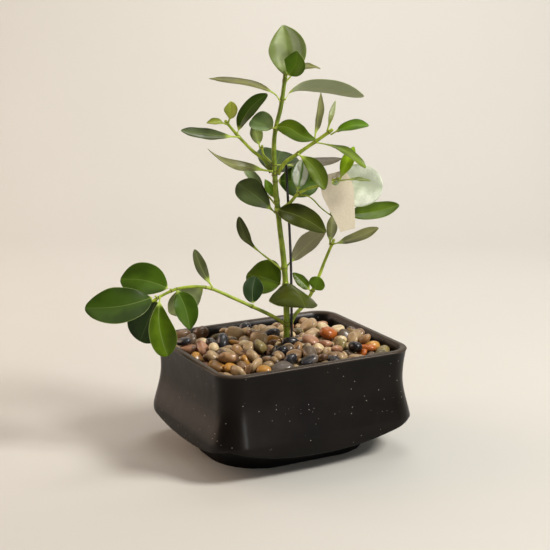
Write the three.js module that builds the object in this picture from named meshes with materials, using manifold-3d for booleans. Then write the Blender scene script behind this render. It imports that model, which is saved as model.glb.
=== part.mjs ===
// A young clusia in a black ceramic planter, the soil covered with river pebbles.
// Millimetres, +Z up. The origin is the centre of the planter's flat foot, X runs along its long side.
import * as THREE from 'three';
import { mergeVertices } from 'three/addons/utils/BufferGeometryUtils.js';
import Module from 'manifold-3d';

const GAP = 0.3;

// Planter: outer rim, waist, flare and foot.
const RIM_LENGTH = 240;
const RIM_WIDTH = 200;
const RIM_CORNER = 28;
const PLANTER_HEIGHT = 122;
const RIM_THICKNESS = 8.5;
const RIM_ROUND = 2.6;
const WAIST_HEIGHT = 88;
const WAIST_INSET = 4.2;
const FLARE_OUTSET = 5.2;
const FLARE_HEIGHT = 42;
const LIP_CORNER_HEIGHT = 44;
const LIP_LONG_FACE_HEIGHT = 22;
const LIP_SHORT_FACE_HEIGHT = 27;
const LIP_ARC_POWER = 2.3;
const FOOT_LENGTH = 189;
const FOOT_WIDTH = 138;
const FOOT_CORNER = 58;
const CAVITY_FLOOR = 11;
const CAVITY_FLOOR_LENGTH = 150;
const CAVITY_FLOOR_WIDTH = 100;
const CAVITY_FLOOR_CORNER = 49;
const CAVITY_DRAW_POWER = 1.15;

// Fill: soil below, pebbles above.
const SOIL_TOP = 92;
const PEBBLE_SLAB_TOP = 112;
const PEBBLE_TOP = 116;
const PEBBLE_COLUMNS = 7;
const PEBBLE_ROWS = 6;
const PEBBLE_MARGIN = 14;

// Plant: where it stands in the planter and how far it is turned.
const PLANT_PLACE = new THREE.Vector3(14, 10, PEBBLE_TOP);
const PLANT_TURN = -28;
const ROOT_DEPTH = 78;
const BURIED_SHARE = 0.45;

// Support stake and hang tag.
const STAKE_RADIUS = 1.5;
const TAG_THICKNESS = 0.8;
const TAG_LENGTH = 67;
const TAG_SHOULDER = 36;
const TAG_SHOULDER_DROP = 13;
const TAG_TOP_HALF = 7;
const TAG_END = 17;
const TAG_HOLE_RADIUS = 4.4;
const TAG_HOLE_TO_TOP = 10;
const TAG_PLACE = new THREE.Vector3(53.5, -16.5, 190.6);
const TAG_LEAN = 15;

const LEAF_THICKNESS = 1.1;
const LEAF_STALK_RADIUS = 1.1;

const wasm = await Module();
wasm.setup();

const radians = THREE.MathUtils.degToRad;
const vector = (point) => new THREE.Vector3(point[0], point[1], point[2]);
const mix = (from, to, amount) => from + (to - from) * amount;

function paint(colour, roughness, metalness = 0) {
  return new THREE.MeshStandardMaterial({ color: colour, roughness, metalness });
}

const FINISH = {
  ceramic: () => paint(0x24201c, 0.5),
  soil: () => paint(0x2b2018, 1),
  pebble: () => paint(0xa8906f, 0.45),
  stem: () => paint(0x5f8422, 0.55),
  stake: () => paint(0x0c0c0e, 0.4),
  card: () => paint(0xc2b597, 0.85),
  leaf: () => paint(0x3f6114, 0.35),
};

function named(name, geometry, finish) {
  const mesh = new THREE.Mesh(geometry, FINISH[finish]());
  mesh.name = name;
  return mesh;
}

// ---------------------------------------------------------------- lofted solids

// Joins rings of equal length into one closed skin. Each end is a flat fan or runs to a point.
function loft(rings, { startPoint = null, endPoint = null } = {}) {
  const count = rings[0].length;
  const positions = rings.flat().flatMap((p) => [p.x, p.y, p.z]);
  const index = [];
  for (let r = 0; r + 1 < rings.length; r += 1) {
    for (let i = 0; i < count; i += 1) {
      const a = r * count + i;
      const b = r * count + ((i + 1) % count);
      index.push(a, b, b + count, a, b + count, a + count);
    }
  }
  const addEnd = (ring, point, flip) => {
    const centre = point ?? average(rings[ring]);
    const apex = positions.length / 3;
    positions.push(centre.x, centre.y, centre.z);
    for (let i = 0; i < count; i += 1) {
      const a = ring * count + i;
      const b = ring * count + ((i + 1) % count);
      index.push(...(flip ? [b, a, apex] : [a, b, apex]));
    }
  };
  addEnd(0, startPoint, true);
  addEnd(rings.length - 1, endPoint, false);
  const geometry = new THREE.BufferGeometry();
  geometry.setAttribute('position', new THREE.Float32BufferAttribute(positions, 3));
  geometry.setIndex(index);
  geometry.computeVertexNormals();
  return geometry;
}

function average(points) {
  const sum = new THREE.Vector3();
  points.forEach((p) => sum.add(p));
  return sum.divideScalar(points.length);
}

// ---------------------------------------------------------------- manifold joins and cuts

function toSolid(geometry, matrix = new THREE.Matrix4()) {
  const bare = geometry.clone().applyMatrix4(matrix);
  bare.deleteAttribute('normal');
  bare.deleteAttribute('uv');
  const merged = mergeVertices(bare, 1e-4);
  const vertProperties = new Float32Array(merged.attributes.position.array);
  const triVerts = new Uint32Array(merged.index.array);
  return new wasm.Manifold(new wasm.Mesh({ numProp: 3, vertProperties, triVerts }));
}

function toGeometry(solid) {
  const mesh = solid.getMesh();
  const geometry = new THREE.BufferGeometry();
  geometry.setAttribute('position', new THREE.Float32BufferAttribute(mesh.vertProperties, 3));
  geometry.setIndex([...mesh.triVerts]);
  geometry.computeVertexNormals();
  return geometry;
}

// ---------------------------------------------------------------- planter

const CORNER_STEPS = 5;
const SIDE_STEPS = 6;

// Points round a rectangle with round corners, counter-clockwise, the same number for every size.
function roundedRectangle(length, width, corner) {
  const points = [];
  const halfX = length / 2 - corner;
  const halfY = width / 2 - corner;
  const centres = [[1, 1], [-1, 1], [-1, -1], [1, -1]];
  centres.forEach(([signX, signY], quarter) => {
    for (let i = 0; i < CORNER_STEPS; i += 1) {
      const angle = radians(90 * (quarter + i / (CORNER_STEPS - 1)));
      const x = signX * halfX + corner * Math.cos(angle);
      const y = signY * halfY + corner * Math.sin(angle);
      points.push(new THREE.Vector2(x, y));
    }
    const [nextX, nextY] = centres[(quarter + 1) % 4];
    const exit = radians(90 * (quarter + 1));
    const from = points[points.length - 1];
    const to = new THREE.Vector2(
      nextX * halfX + corner * Math.cos(exit),
      nextY * halfY + corner * Math.sin(exit),
    );
    for (let i = 1; i < SIDE_STEPS; i += 1) {
      points.push(from.clone().lerp(to, i / SIDE_STEPS));
    }
  });
  return points;
}

function levelRing(length, width, corner, height) {
  return roundedRectangle(length, width, corner).map((p) => new THREE.Vector3(p.x, p.y, height));
}

// How far the outer wall stands out from the rim line at a height: in at the waist, out at the flare.
function wallOutset(height) {
  if (height > WAIST_HEIGHT) {
    const rise = (height - WAIST_HEIGHT) / (PLANTER_HEIGHT - WAIST_HEIGHT);
    return -WAIST_INSET * Math.cos(rise * Math.PI / 2) ** 0.8;
  }
  const drop = Math.min((WAIST_HEIGHT - height) / (WAIST_HEIGHT - FLARE_HEIGHT), 1);
  return mix(-WAIST_INSET, FLARE_OUTSET, drop * drop * (1.9 - 0.9 * drop));
}

// The lip under each wall is an arc: high at the corners, low in the middle of the face.
function lipHeight(point) {
  const across = Math.abs(point.x) / (RIM_LENGTH / 2 + FLARE_OUTSET);
  const along = Math.abs(point.y) / (RIM_WIDTH / 2 + FLARE_OUTSET);
  const reach = Math.min(across, along, 1);
  const shortFace = across ** 4 / (across ** 4 + along ** 4);
  const middle = mix(LIP_LONG_FACE_HEIGHT, LIP_SHORT_FACE_HEIGHT, shortFace);
  return mix(middle, LIP_CORNER_HEIGHT, reach ** LIP_ARC_POWER);
}

// One ring of the outer wall, a fraction of the way from the lip up to the rim.
function wallRing(fraction) {
  const flare = roundedRectangle(
    RIM_LENGTH + 2 * FLARE_OUTSET, RIM_WIDTH + 2 * FLARE_OUTSET, RIM_CORNER + FLARE_OUTSET,
  );
  const top = PLANTER_HEIGHT - RIM_ROUND;
  return flare.map((p, i) => {
    const height = mix(lipHeight(p), top, fraction);
    const outset = wallOutset(height);
    const spot = roundedRectangle(
      RIM_LENGTH + 2 * outset, RIM_WIDTH + 2 * outset, RIM_CORNER + outset,
    )[i];
    return new THREE.Vector3(spot.x, spot.y, height);
  });
}

// One ring of the bowl-shaped underside, from the lip (0) in to the foot (1).
function undersideRing(fraction) {
  const lip = wallRing(0);
  const foot = levelRing(FOOT_LENGTH, FOOT_WIDTH, FOOT_CORNER, 0);
  return lip.map((p, i) => {
    const spot = p.clone().lerp(foot[i], fraction ** 0.9);
    spot.z = p.z * (1 - fraction) ** 0.75;
    return spot;
  });
}

function rimRing(inset, height) {
  return levelRing(RIM_LENGTH - 2 * inset, RIM_WIDTH - 2 * inset, RIM_CORNER - inset, height);
}

// One ring of the cavity, from just under the rim (0) down to the floor (1), following the outer wall.
function cavityRing(fraction) {
  const drop = Math.sin(fraction * Math.PI / 2);
  const draw = (1 - Math.cos(fraction * Math.PI / 2)) ** CAVITY_DRAW_POWER;
  const height = mix(PLANTER_HEIGHT - RIM_ROUND, CAVITY_FLOOR, drop);
  const inset = RIM_THICKNESS - wallOutset(height);
  return levelRing(
    mix(RIM_LENGTH - 2 * inset, CAVITY_FLOOR_LENGTH, draw),
    mix(RIM_WIDTH - 2 * inset, CAVITY_FLOOR_WIDTH, draw),
    mix(RIM_CORNER - RIM_THICKNESS, CAVITY_FLOOR_CORNER, draw),
    height,
  );
}

const CAVITY_RINGS = [0, 0.1, 0.2, 0.32, 0.45, 0.58, 0.7, 0.8, 0.89, 0.96, 1].map(cavityRing);

function makePlanter() {
  const rings = [];
  [1, 0.8, 0.6, 0.42, 0.26, 0.12, 0.03].forEach((f) => rings.push(undersideRing(f)));
  [0, 0.08, 0.18, 0.3, 0.42, 0.55, 0.7, 0.85, 1].forEach((f) => rings.push(wallRing(f)));
  rings.push(rimRing(RIM_ROUND * 0.3, PLANTER_HEIGHT - RIM_ROUND * 0.3));
  rings.push(rimRing(RIM_ROUND, PLANTER_HEIGHT));
  rings.push(rimRing(RIM_THICKNESS - RIM_ROUND, PLANTER_HEIGHT));
  rings.push(rimRing(RIM_THICKNESS - RIM_ROUND * 0.3, PLANTER_HEIGHT - RIM_ROUND * 0.3));
  return named('planter', loft([...rings, ...CAVITY_RINGS]), 'ceramic');
}

// ---------------------------------------------------------------- soil and pebbles

// The cavity's plan at a height, drawn in by a clearance: used for whatever fills the planter.
function fillRing(height, clearance) {
  const lower = Math.max(CAVITY_RINGS.findIndex((ring) => ring[0].z <= height), 1);
  const [above, below] = [CAVITY_RINGS[lower - 1], CAVITY_RINGS[lower]];
  const share = (above[0].z - height) / (above[0].z - below[0].z);
  const keep = 1 - clearance / (CAVITY_FLOOR_WIDTH / 2);
  return above.map((p, i) => {
    const spot = p.clone().lerp(below[i], share);
    return new THREE.Vector3(spot.x * keep, spot.y * keep, height);
  });
}

// A plug of fill between two heights that keeps clear of the cavity's wall.
function fillSolid(bottom, top, clearance) {
  const levels = CAVITY_RINGS.map((ring) => ring[0].z).filter((z) => z > bottom && z < top);
  const heights = [bottom, ...levels.reverse(), top];
  return toSolid(loft(heights.map((height) => fillRing(height, clearance))));
}

// A straight-sided hole round each stem or stake that stands in the fill.
function socketFor(rod, clearance) {
  return toSolid(rodGeometry(rod.curve, (t) => rod.radius(t) + clearance, 10, 24));
}

function makeSoil(rods) {
  let solid = fillSolid(CAVITY_FLOOR + GAP, SOIL_TOP, 2 * GAP);
  rods.forEach((rod) => { solid = solid.subtract(socketFor(rod, 2 * GAP)); });
  return named('potting_soil', toGeometry(solid), 'soil');
}

// Repeatable scatter between 0 and 1.
function scatter(seed) {
  const wave = Math.sin(seed * 12.9898 + 4.1414) * 43758.5453;
  return wave - Math.floor(wave);
}

// One flattened river pebble lying on the bed.
function pebble(column, row) {
  const seed = column * 17 + row * 131;
  const halfX = RIM_LENGTH / 2 - RIM_THICKNESS - PEBBLE_MARGIN;
  const halfY = RIM_WIDTH / 2 - RIM_THICKNESS - PEBBLE_MARGIN;
  const stagger = (row % 2) * 0.5 - 0.25;
  const x = mix(-halfX, halfX, (column + 0.5 + stagger * 0.6) / PEBBLE_COLUMNS);
  const y = mix(-halfY, halfY, (row + 0.5) / PEBBLE_ROWS);
  const long = mix(11, 16, scatter(seed));
  const wide = mix(8, 11, scatter(seed + 3));
  const tall = mix(4.5, 5.5, scatter(seed + 5));
  const place = new THREE.Vector3(x, y, PEBBLE_SLAB_TOP + mix(-0.5, 1, scatter(seed + 7)));
  const tilt = new THREE.Euler(
    radians(mix(-12, 12, scatter(seed + 11))),
    radians(mix(-12, 12, scatter(seed + 13))),
    radians(mix(0, 180, scatter(seed + 17))),
  );
  const matrix = new THREE.Matrix4().compose(
    place, new THREE.Quaternion().setFromEuler(tilt), new THREE.Vector3(long, wide, tall),
  );
  return toSolid(new THREE.IcosahedronGeometry(1, 1), matrix);
}

function makePebbleBed(rods) {
  let solid = fillSolid(SOIL_TOP + GAP, PEBBLE_SLAB_TOP, 2 * GAP);
  for (let row = 0; row < PEBBLE_ROWS; row += 1) {
    for (let column = 0; column < PEBBLE_COLUMNS; column += 1) {
      solid = solid.add(pebble(column, row));
    }
  }
  const inside = fillSolid(SOIL_TOP + GAP, PLANTER_HEIGHT, 2 * GAP);
  solid = solid.intersect(inside);
  rods.forEach((rod) => { solid = solid.subtract(socketFor(rod, 2 * GAP)); });
  return named('pebble_bed', toGeometry(solid), 'pebble');
}

// ---------------------------------------------------------------- stems

// A round rod that tapers along a curve, cut flat at both ends.
function rodGeometry(curve, radius, sides, steps) {
  const frames = curve.computeFrenetFrames(steps, false);
  const rings = [];
  for (let i = 0; i <= steps; i += 1) {
    const centre = curve.getPointAt(i / steps);
    const ring = [];
    for (let k = 0; k < sides; k += 1) {
      const angle = (k / sides) * Math.PI * 2;
      ring.push(centre.clone()
        .addScaledVector(frames.normals[i], Math.cos(angle) * radius(i / steps))
        .addScaledVector(frames.binormals[i], Math.sin(angle) * radius(i / steps)));
    }
    rings.push(ring);
  }
  return loft(rings);
}

function makeRod(points, startRadius, endRadius) {
  const curve = new THREE.CatmullRomCurve3(points.map(vector), false, 'centripetal');
  const radius = (t) => mix(startRadius, endRadius, t);
  return { curve, radius, length: curve.getLength() };
}

// Where something grows out of a rod's side: on its surface, a gap away, on the side of `heading`.
// What grows on towards `goal` along the rod stands further off, so that its own thickness clears.
function budPlace(rod, at, heading, goal, budRadius) {
  const axis = rod.curve.getPointAt(at);
  const along = rod.curve.getTangentAt(at);
  const outward = heading.clone().addScaledVector(along, -heading.dot(along)).normalize();
  const straight = goal.clone().sub(axis).normalize().dot(outward);
  const lean = Math.sqrt(1 - THREE.MathUtils.clamp(straight, 0, 1) ** 2);
  return axis.addScaledVector(outward, rod.radius(at) + GAP + budRadius * lean);
}

// A side shoot starts on its parent's surface and then follows its own points.
function makeShoot(parent, at, points, startRadius, endRadius) {
  const heading = vector(points[0]).sub(parent.curve.getPointAt(at));
  const start = budPlace(parent, at, heading, vector(points[0]), startRadius * 1.15);
  return makeRod([start.toArray(), ...points], startRadius, endRadius);
}

// Places on the main stem are given by height above the pebbles.
function atHeight(rod, height) {
  let low = 0;
  let high = 1;
  for (let i = 0; i < 30; i += 1) {
    const middle = (low + high) / 2;
    if (rod.curve.getPointAt(middle).z < height) low = middle;
    else high = middle;
  }
  return low;
}

const mainStem = makeRod([
  [0, 0, -ROOT_DEPTH], [0, 0, 0], [-1, 0, 60], [-4, 0, 100], [-9, 0, 142], [-14, 0, 198],
  [-14, 0, 240], [-7, 0, 272], [-2, 0, 308],
], 4.1, 2.2);

const stems = { main_stem: mainStem };
stems.branch_low_left = makeShoot(mainStem, atHeight(mainStem, 24), [
  [-17, -6, 33], [-42, -13, 47], [-64, -19, 59], [-88, -26, 71], [-107, -32, 74], [-128, -37, 71],
  [-150, -42, 60],
], 2.2, 1.5);
stems.branch_low_right = makeShoot(mainStem, atHeight(mainStem, 20), [
  [9, 6, 30], [22, 10, 44], [36, 15, 72], [43, 18, 90], [54, 21, 116],
], 2.2, 1.7);
stems.branch_mid_left = makeShoot(mainStem, atHeight(mainStem, 200), [
  [-22, 3, 208], [-37, 6, 220], [-56, 10, 239], [-69, 13, 254],
], 2.1, 1.5);
stems.branch_mid_right = makeShoot(mainStem, atHeight(mainStem, 198), [
  [-6, -3, 206], [14, -8, 222], [33, -13, 236], [49, -17, 248],
], 2.4, 1.8);
stems.twig_tag = makeShoot(mainStem, atHeight(mainStem, 156), [
  [3, -3, 164], [15, -6, 177], [36, -3, 184], [50, -8, 192], [54, -19, 193], [57, -28, 196],
], 2, 1.3);
stems.twig_thin = makeShoot(stems.twig_tag, 0.3, [
  [20, -9, 174], [28, -11, 170], [39, -13, 159], [50, -12, 151],
], 0.8, 0.7);
stems.twig_young = makeShoot(mainStem, atHeight(mainStem, 207), [
  [-21, 9, 211], [-27, 13, 217], [-28, 14, 226],
], 1.4, 1.1);

function makeStem([name, rod]) {
  const sides = name === 'main_stem' ? 10 : 7;
  const steps = Math.max(5, Math.round(rod.length / 14));
  return named(name, rodGeometry(rod.curve, rod.radius, sides, steps), 'stem');
}

// ---------------------------------------------------------------- leaves

// How the blade's half width runs from stalk (0) to tip (1), as powers of the two distances.
const FORM = {
  spoon: [1.1, 0.6],
  oval: [0.75, 0.65],
  broad: [0.6, 0.75],
  round: [0.5, 0.5],
  lance: [0.9, 0.95],
  rhomb: [0.85, 0.8],
};
const LEAF_STATIONS = [0, 0.06, 0.15, 0.28, 0.43, 0.58, 0.73, 0.86, 0.955];

function bladeHalfWidth(spec, s) {
  const u = THREE.MathUtils.clamp((s - spec.stalk) / (1 - spec.stalk), 0, 1);
  const [rise, fall] = FORM[spec.form];
  const peak = rise / (rise + fall);
  const scale = peak ** rise * (1 - peak) ** fall;
  const blade = (spec.width / 2) * (u ** rise * (1 - u) ** fall) / scale;
  return Math.max(blade, LEAF_STALK_RADIUS);
}

const LEAF_DEFAULTS = {
  faces: [0, 0, 1], out: null, arch: 0, skew: 1, sweep: 0, wave: 0, fold: 10, twist: 0, stalk: 0.12,
  form: 'oval',
};

// The midrib of a leaf as a function of the way along it, with the way its upper side looks.
function leafMidrib(base, tip, spec) {
  const chord = tip.clone().sub(base);
  const along = chord.clone().normalize();
  const upper = vector(spec.faces);
  upper.addScaledVector(along, -upper.dot(along)).normalize();
  const side = along.clone().cross(upper);
  const at = (s) => {
    const bow = Math.sin(Math.PI * s ** spec.skew);
    const sideways = spec.sweep * bow + spec.wave * Math.sin(2 * Math.PI * s);
    return base.clone().addScaledVector(chord, s)
      .addScaledVector(upper, spec.arch * bow)
      .addScaledVector(side, sideways);
  };
  return { at, upper };
}

// One leaf, as a lens-shaped section carried along its midrib from the stem to the tip.
// `faces` is the way its upper side looks, `arch` bows the midrib towards that side, `sweep` sideways,
// `skew` under 1 brings the bow nearer the stem, `wave` bends the midrib sideways one way and back,
// `fold` lifts both halves and `twist` turns the blade.
function leafGeometry(stem, options) {
  const spec = { ...LEAF_DEFAULTS, ...options };
  const tip = vector(spec.tip);
  const heading = spec.out ? vector(spec.out) : tip.clone().sub(stem.curve.getPointAt(spec.at));
  const rough = leafMidrib(stem.curve.getPointAt(spec.at), tip, spec);
  const base = budPlace(stem, spec.at, heading, rough.at(0.06), LEAF_STALK_RADIUS * 1.3);
  const { at: midrib, upper } = leafMidrib(base, tip, spec);
  const rings = LEAF_STATIONS.map((s) => {
    const tangent = midrib(Math.min(s + 0.01, 1)).sub(midrib(Math.max(s - 0.01, 0))).normalize();
    const normal = upper.clone().addScaledVector(tangent, -upper.dot(tangent)).normalize();
    normal.applyAxisAngle(tangent, radians(spec.twist * (s - 0.5)));
    const across = tangent.clone().cross(normal);
    const blend = THREE.MathUtils.smoothstep(s, spec.stalk * 0.5, spec.stalk + 0.15);
    const half = bladeHalfWidth(spec, s);
    const thick = mix(LEAF_STALK_RADIUS * 1.7, LEAF_THICKNESS, blend);
    const fold = radians(spec.fold) * blend;
    const place = (x, lift) => midrib(s)
      .addScaledVector(across, half * x * Math.cos(fold))
      .addScaledVector(normal, half * Math.abs(x) * Math.sin(fold) + lift * thick);
    return [
      place(-1, 0), place(-0.5, 0.42), place(0, 0.5), place(0.5, 0.42),
      place(1, 0), place(0.65, -0.35), place(0, -0.5), place(-0.65, -0.35),
    ];
  });
  return loft(rings, { endPoint: tip });
}

const LEAVES = [];
function leaf(name, stemName, at, tip, options) {
  LEAVES.push({ name, stemName, at, tip, ...options });
}

// Crown.
leaf('leaf_top_large', 'main_stem', 303, [-5, -4, 361],
  { out: [0, 1, 0], faces: [0, -1, 0.1], width: 43, sweep: 4, fold: 14, stalk: 0.04,
    form: 'rhomb' });
leaf('leaf_top_front', 'main_stem', 306, [10, -15, 334],
  { out: [0.5, -1, 0], faces: [-0.2, -1, 0.35], width: 27, arch: -2, sweep: 4, fold: 16, form: 'rhomb',
    stalk: 0.06 });
leaf('leaf_top_narrow', 'main_stem', 301, [37, 20, 312],
  { out: [1, 0.9, 0], faces: [0, -0.5, 1], width: 13, arch: 9 });
leaf('leaf_crown_left', 'main_stem', 279, [-86, -14, 304],
  { out: [-1, -0.6, 0], faces: [0, -0.34, 1], width: 19, arch: 8, skew: 0.62, form: 'lance',
    stalk: 0.1 });
leaf('leaf_crown_right', 'main_stem', 281, [86, 18, 281],
  { faces: [0.1, 0.6, 0.8], width: 31, arch: 14, skew: 0.62, stalk: 0.06 });
leaf('leaf_upper_front', 'main_stem', 248, [31, -29, 239],
  { out: [-0.8, -1.5, 0], faces: [0.1, -0.8, 0.65], width: 23, arch: 5, wave: -3, form: 'broad',
    stalk: 0.04 });
leaf('leaf_upper_back', 'main_stem', 247, [-40, 20, 255],
  { faces: [0, -0.8, 0.5], width: 28, fold: 24, form: 'round', stalk: 0.06 });
leaf('leaf_young', 'twig_young', 0.94, [-38, 18, 251],
  { faces: [0.2, -1, 0.3], width: 15, form: 'lance' });

// Middle left.
leaf('leaf_left_tip_upper', 'branch_mid_left', 0.97, [-63, 16, 276],
  { out: [1, 0.4, 0.3], faces: [-0.3, -1, 0], width: 17, sweep: 2, fold: 20, form: 'rhomb' });
leaf('leaf_left_tip_outer', 'branch_mid_left', 0.97, [-90, 4, 253],
  { out: [-1, -0.4, 0.4], faces: [0.1, -0.7, 0.7], width: 10, fold: 20, arch: 3, form: 'lance' });
leaf('leaf_left_dark', 'branch_mid_left', 0.76, [-22, 27, 283],
  { out: [0.8, 0.8, 0], faces: [-0.6, -0.8, 0.5], width: 23, arch: 2, sweep: -5, stalk: 0.06 });
leaf('leaf_left_outer', 'branch_mid_left', 0.7, [-118, -6, 246],
  { out: [-0.6, -0.8, 0.5], faces: [0, -0.7, 0.7], width: 16, arch: -2 });

// Middle.
leaf('leaf_mid_twisted', 'main_stem', 200, [-88, -21, 228],
  { out: [-1, -0.7, 0], faces: [0, -0.75, 1], width: 15, arch: -10, skew: 0.85, wave: 3.5, twist: 70,
    stalk: 0.1, form: 'lance' });
leaf('leaf_mid_back', 'main_stem', 195, [-7, 60, 213],
  { out: [-0.8, 1, 0], faces: [0, -1, 0.3], width: 51, arch: 1, form: 'round', stalk: 0.12 });
leaf('leaf_mid_back_right', 'main_stem', 188, [37, 29, 182],
  { out: [0.35, 1, 0], faces: [-0.1, -1, 0.2], width: 37, arch: -2, form: 'round', stalk: 0.1 });
leaf('leaf_mid_far_right', 'main_stem', 206, [64, 33, 209],
  { out: [0.5, 0.9, 0], faces: [0, -0.35, 1], width: 24, arch: -4, stalk: 0.2, form: 'lance' });

// Middle right.
leaf('leaf_right_hanging', 'branch_mid_right', 0.42, [41, -27, 183],
  { out: [0.2, -1, -0.2], faces: [0.25, -1, 0.25], width: 19, arch: 2, sweep: -5, stalk: 0.08 });
leaf('leaf_right_upright', 'branch_mid_right', 0.72, [37, -5, 288],
  { out: [-0.2, 0.6, 1], faces: [0.8, -0.6, 0], width: 15, fold: 22, form: 'lance', stalk: 0.1 });
leaf('leaf_right_arching', 'branch_mid_right', 0.74, [86, -32, 208],
  { out: [0.4, -0.8, -0.8], faces: [0.3, -0.5, 1], width: 16, arch: 7, stalk: 0.22 });
leaf('leaf_right_tip', 'branch_mid_right', 0.97, [89, -26, 254],
  { out: [1, -0.3, -0.6], faces: [-0.1, -0.6, 1], width: 19, arch: 5 });
leaf('leaf_right_small', 'branch_mid_right', 0.95, [53, -12, 280],
  { out: [-0.3, 0.5, 1], faces: [-0.6, -1, 0], width: 7, form: 'lance', stalk: 0.15 });

// Tag twig.
leaf('leaf_twig_glossy', 'twig_tag', 0.31, [18, -3, 213],
  { out: [-0.5, 0, 1], faces: [0.1, -1, 0.3], width: 23, fold: 14, arch: 3, stalk: 0.08 });
leaf('leaf_tag_upright', 'twig_tag', 0.97, [74, -12, 229],
  { out: [1, -0.2, 0.4], faces: [-0.3, -1, 0.1], width: 15, form: 'rhomb', stalk: 0.06 });
leaf('leaf_tag_side', 'twig_tag', 0.95, [92, -34, 194],
  { out: [1, -0.2, -0.8], faces: [0, -0.25, 1], width: 10, arch: 2, form: 'lance', stalk: 0.3 });
leaf('leaf_tag_round', 'twig_tag', 0.66, [107, -8, 182],
  { out: [0.6, 0.7, 0], faces: [0.05, -1, 0.15], width: 48, fold: 6, form: 'round', stalk: 0.14 });
leaf('leaf_tag_lower', 'twig_thin', 0.96, [127, 4, 160],
  { out: [0.8, 0, 0.6], faces: [0, -0.6, 0.8], width: 26, arch: -7, stalk: 0.22 });

// Broad leaves half way up.
leaf('leaf_left_broad', 'main_stem', 153, [-56, 16, 183],
  { faces: [0, -0.85, 0.55], width: 32, arch: 4, form: 'spoon', stalk: 0.08 });
leaf('leaf_left_small', 'main_stem', 160, [-49, 36, 198],
  { out: [-0.4, 1, 0], faces: [0.2, -0.7, 0.7], width: 14, fold: 20, stalk: 0.42 });
leaf('leaf_left_wedge', 'main_stem', 166, [-25, 8, 189],
  { out: [-0.4, 1, 0], faces: [0.4, -1, 0], width: 11, form: 'lance' });
leaf('leaf_right_broad', 'main_stem', 157, [43, -33, 136],
  { out: [-0.7, -1.4, 0], faces: [0.1, -0.75, 0.65], width: 30, arch: 4, sweep: -2, form: 'broad',
    stalk: 0.04 });
leaf('leaf_spoon', 'main_stem', 88, [-54, -12, 150],
  { out: [-1, -0.3, 0], faces: [-0.2, -1, 0], width: 13, sweep: -9, skew: 1.3, stalk: 0.53 });
leaf('leaf_right_underside', 'main_stem', 90, [44, 16, 129],
  { out: [1, 0.6, 0], faces: [-0.5, 0.9, 0.25], width: 27, arch: 3 });
leaf('leaf_low_left_broad', 'main_stem', 68, [-46, 18, 76],
  { out: [-1, 0.5, 0], faces: [0, -0.75, 0.65], width: 47, arch: 4, form: 'broad', stalk: 0.06 });
leaf('leaf_low_front', 'main_stem', 71, [20, -45, 53],
  { out: [0.2, -1, 0], faces: [0.42, -0.42, 0.9], width: 70, arch: 5, fold: -24, form: 'rhomb',
    stalk: 0.04 });

// Low right branch.
leaf('leaf_low_right_round', 'branch_low_right', 0.44, [38, 5, 76],
  { out: [0.5, -1, 0], faces: [-0.2, -1, 0.3], width: 20, form: 'round', stalk: 0.08 });
leaf('leaf_low_right_narrow', 'branch_low_right', 0.42, [7, 18, 78],
  { out: [-1, 0.2, 0.3], faces: [0.3, -0.9, 0.5], width: 14, form: 'broad', stalk: 0.06 });
leaf('leaf_low_right_tip', 'branch_low_right', 0.97, [106, 28, 129],
  { out: [1, 0, -0.3], faces: [0, -0.55, 0.85], width: 17, arch: -3, stalk: 0.08 });
leaf('leaf_low_right_back', 'branch_low_right', 0.95, [53, 30, 145],
  { out: [-0.6, 0.8, 0.4], faces: [0.4, -1, 0.1], width: 14, form: 'lance', stalk: 0.08 });

// Low left branch.
leaf('leaf_low_slate', 'branch_low_left', 0.26, [-36, -8, 80],
  { out: [0, -0.6, 1], faces: [0.3, -1, 0.2], width: 25, sweep: -2, stalk: 0.05 });
leaf('leaf_low_upright', 'branch_low_left', 0.58, [-104, -19, 114],
  { out: [0.2, 0.5, 1], faces: [0.5, -0.9, 0.1], width: 14, sweep: -2, stalk: 0.1 });
leaf('leaf_low_blue', 'branch_low_left', 0.62, [-135, -4, 36],
  { out: [0, 1, -0.3], faces: [0.2, -1, 0.3], width: 30, stalk: 0.08 });
leaf('leaf_low_bright', 'branch_low_left', 0.82, [-109, -46, 28],
  { out: [0.3, -0.5, -1], faces: [0.3, -1, 0.25], width: 28, sweep: -3, fold: 16, form: 'broad', stalk: 0.03 });
leaf('leaf_low_back', 'branch_low_left', 0.86, [-188, -18, 79],
  { out: [-0.2, 0.9, 0.6], faces: [0, -0.75, 0.65], width: 43, arch: 3, sweep: 3, stalk: 0.06 });
leaf('leaf_low_outer', 'branch_low_left', 0.97, [-223, -62, 57],
  { out: [-1, -0.2, 0.5], faces: [0, -0.75, 0.65], width: 46, arch: 4, sweep: -7, stalk: 0.05 });
leaf('leaf_low_dark', 'branch_low_left', 0.98, [-166, -34, 11],
  { out: [0, 0.8, -1], faces: [-0.2, -1, 0.2], width: 46, form: 'round', stalk: 0.04 });
leaf('leaf_low_hanging', 'branch_low_left', 0.95, [-133, -62, 2],
  { out: [0, -1, -0.4], faces: [0.4, -1, 0.2], width: 35, fold: 26, arch: 4, sweep: 6, stalk: 0.04,
    form: 'spoon' });

function makeLeaf(spec) {
  const stem = stems[spec.stemName];
  const at = spec.stemName === 'main_stem' ? atHeight(stem, spec.at) : spec.at;
  return named(spec.name, leafGeometry(stem, { ...spec, at }), 'leaf');
}

// ---------------------------------------------------------------- stake and tag

const stake = makeRod([
  [5.8, -2.4, -ROOT_DEPTH], [5.6, -2.2, 0], [4.6, 0, 90], [1.6, 4, 155], [-1, 5, 205],
], STAKE_RADIUS, STAKE_RADIUS);

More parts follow.
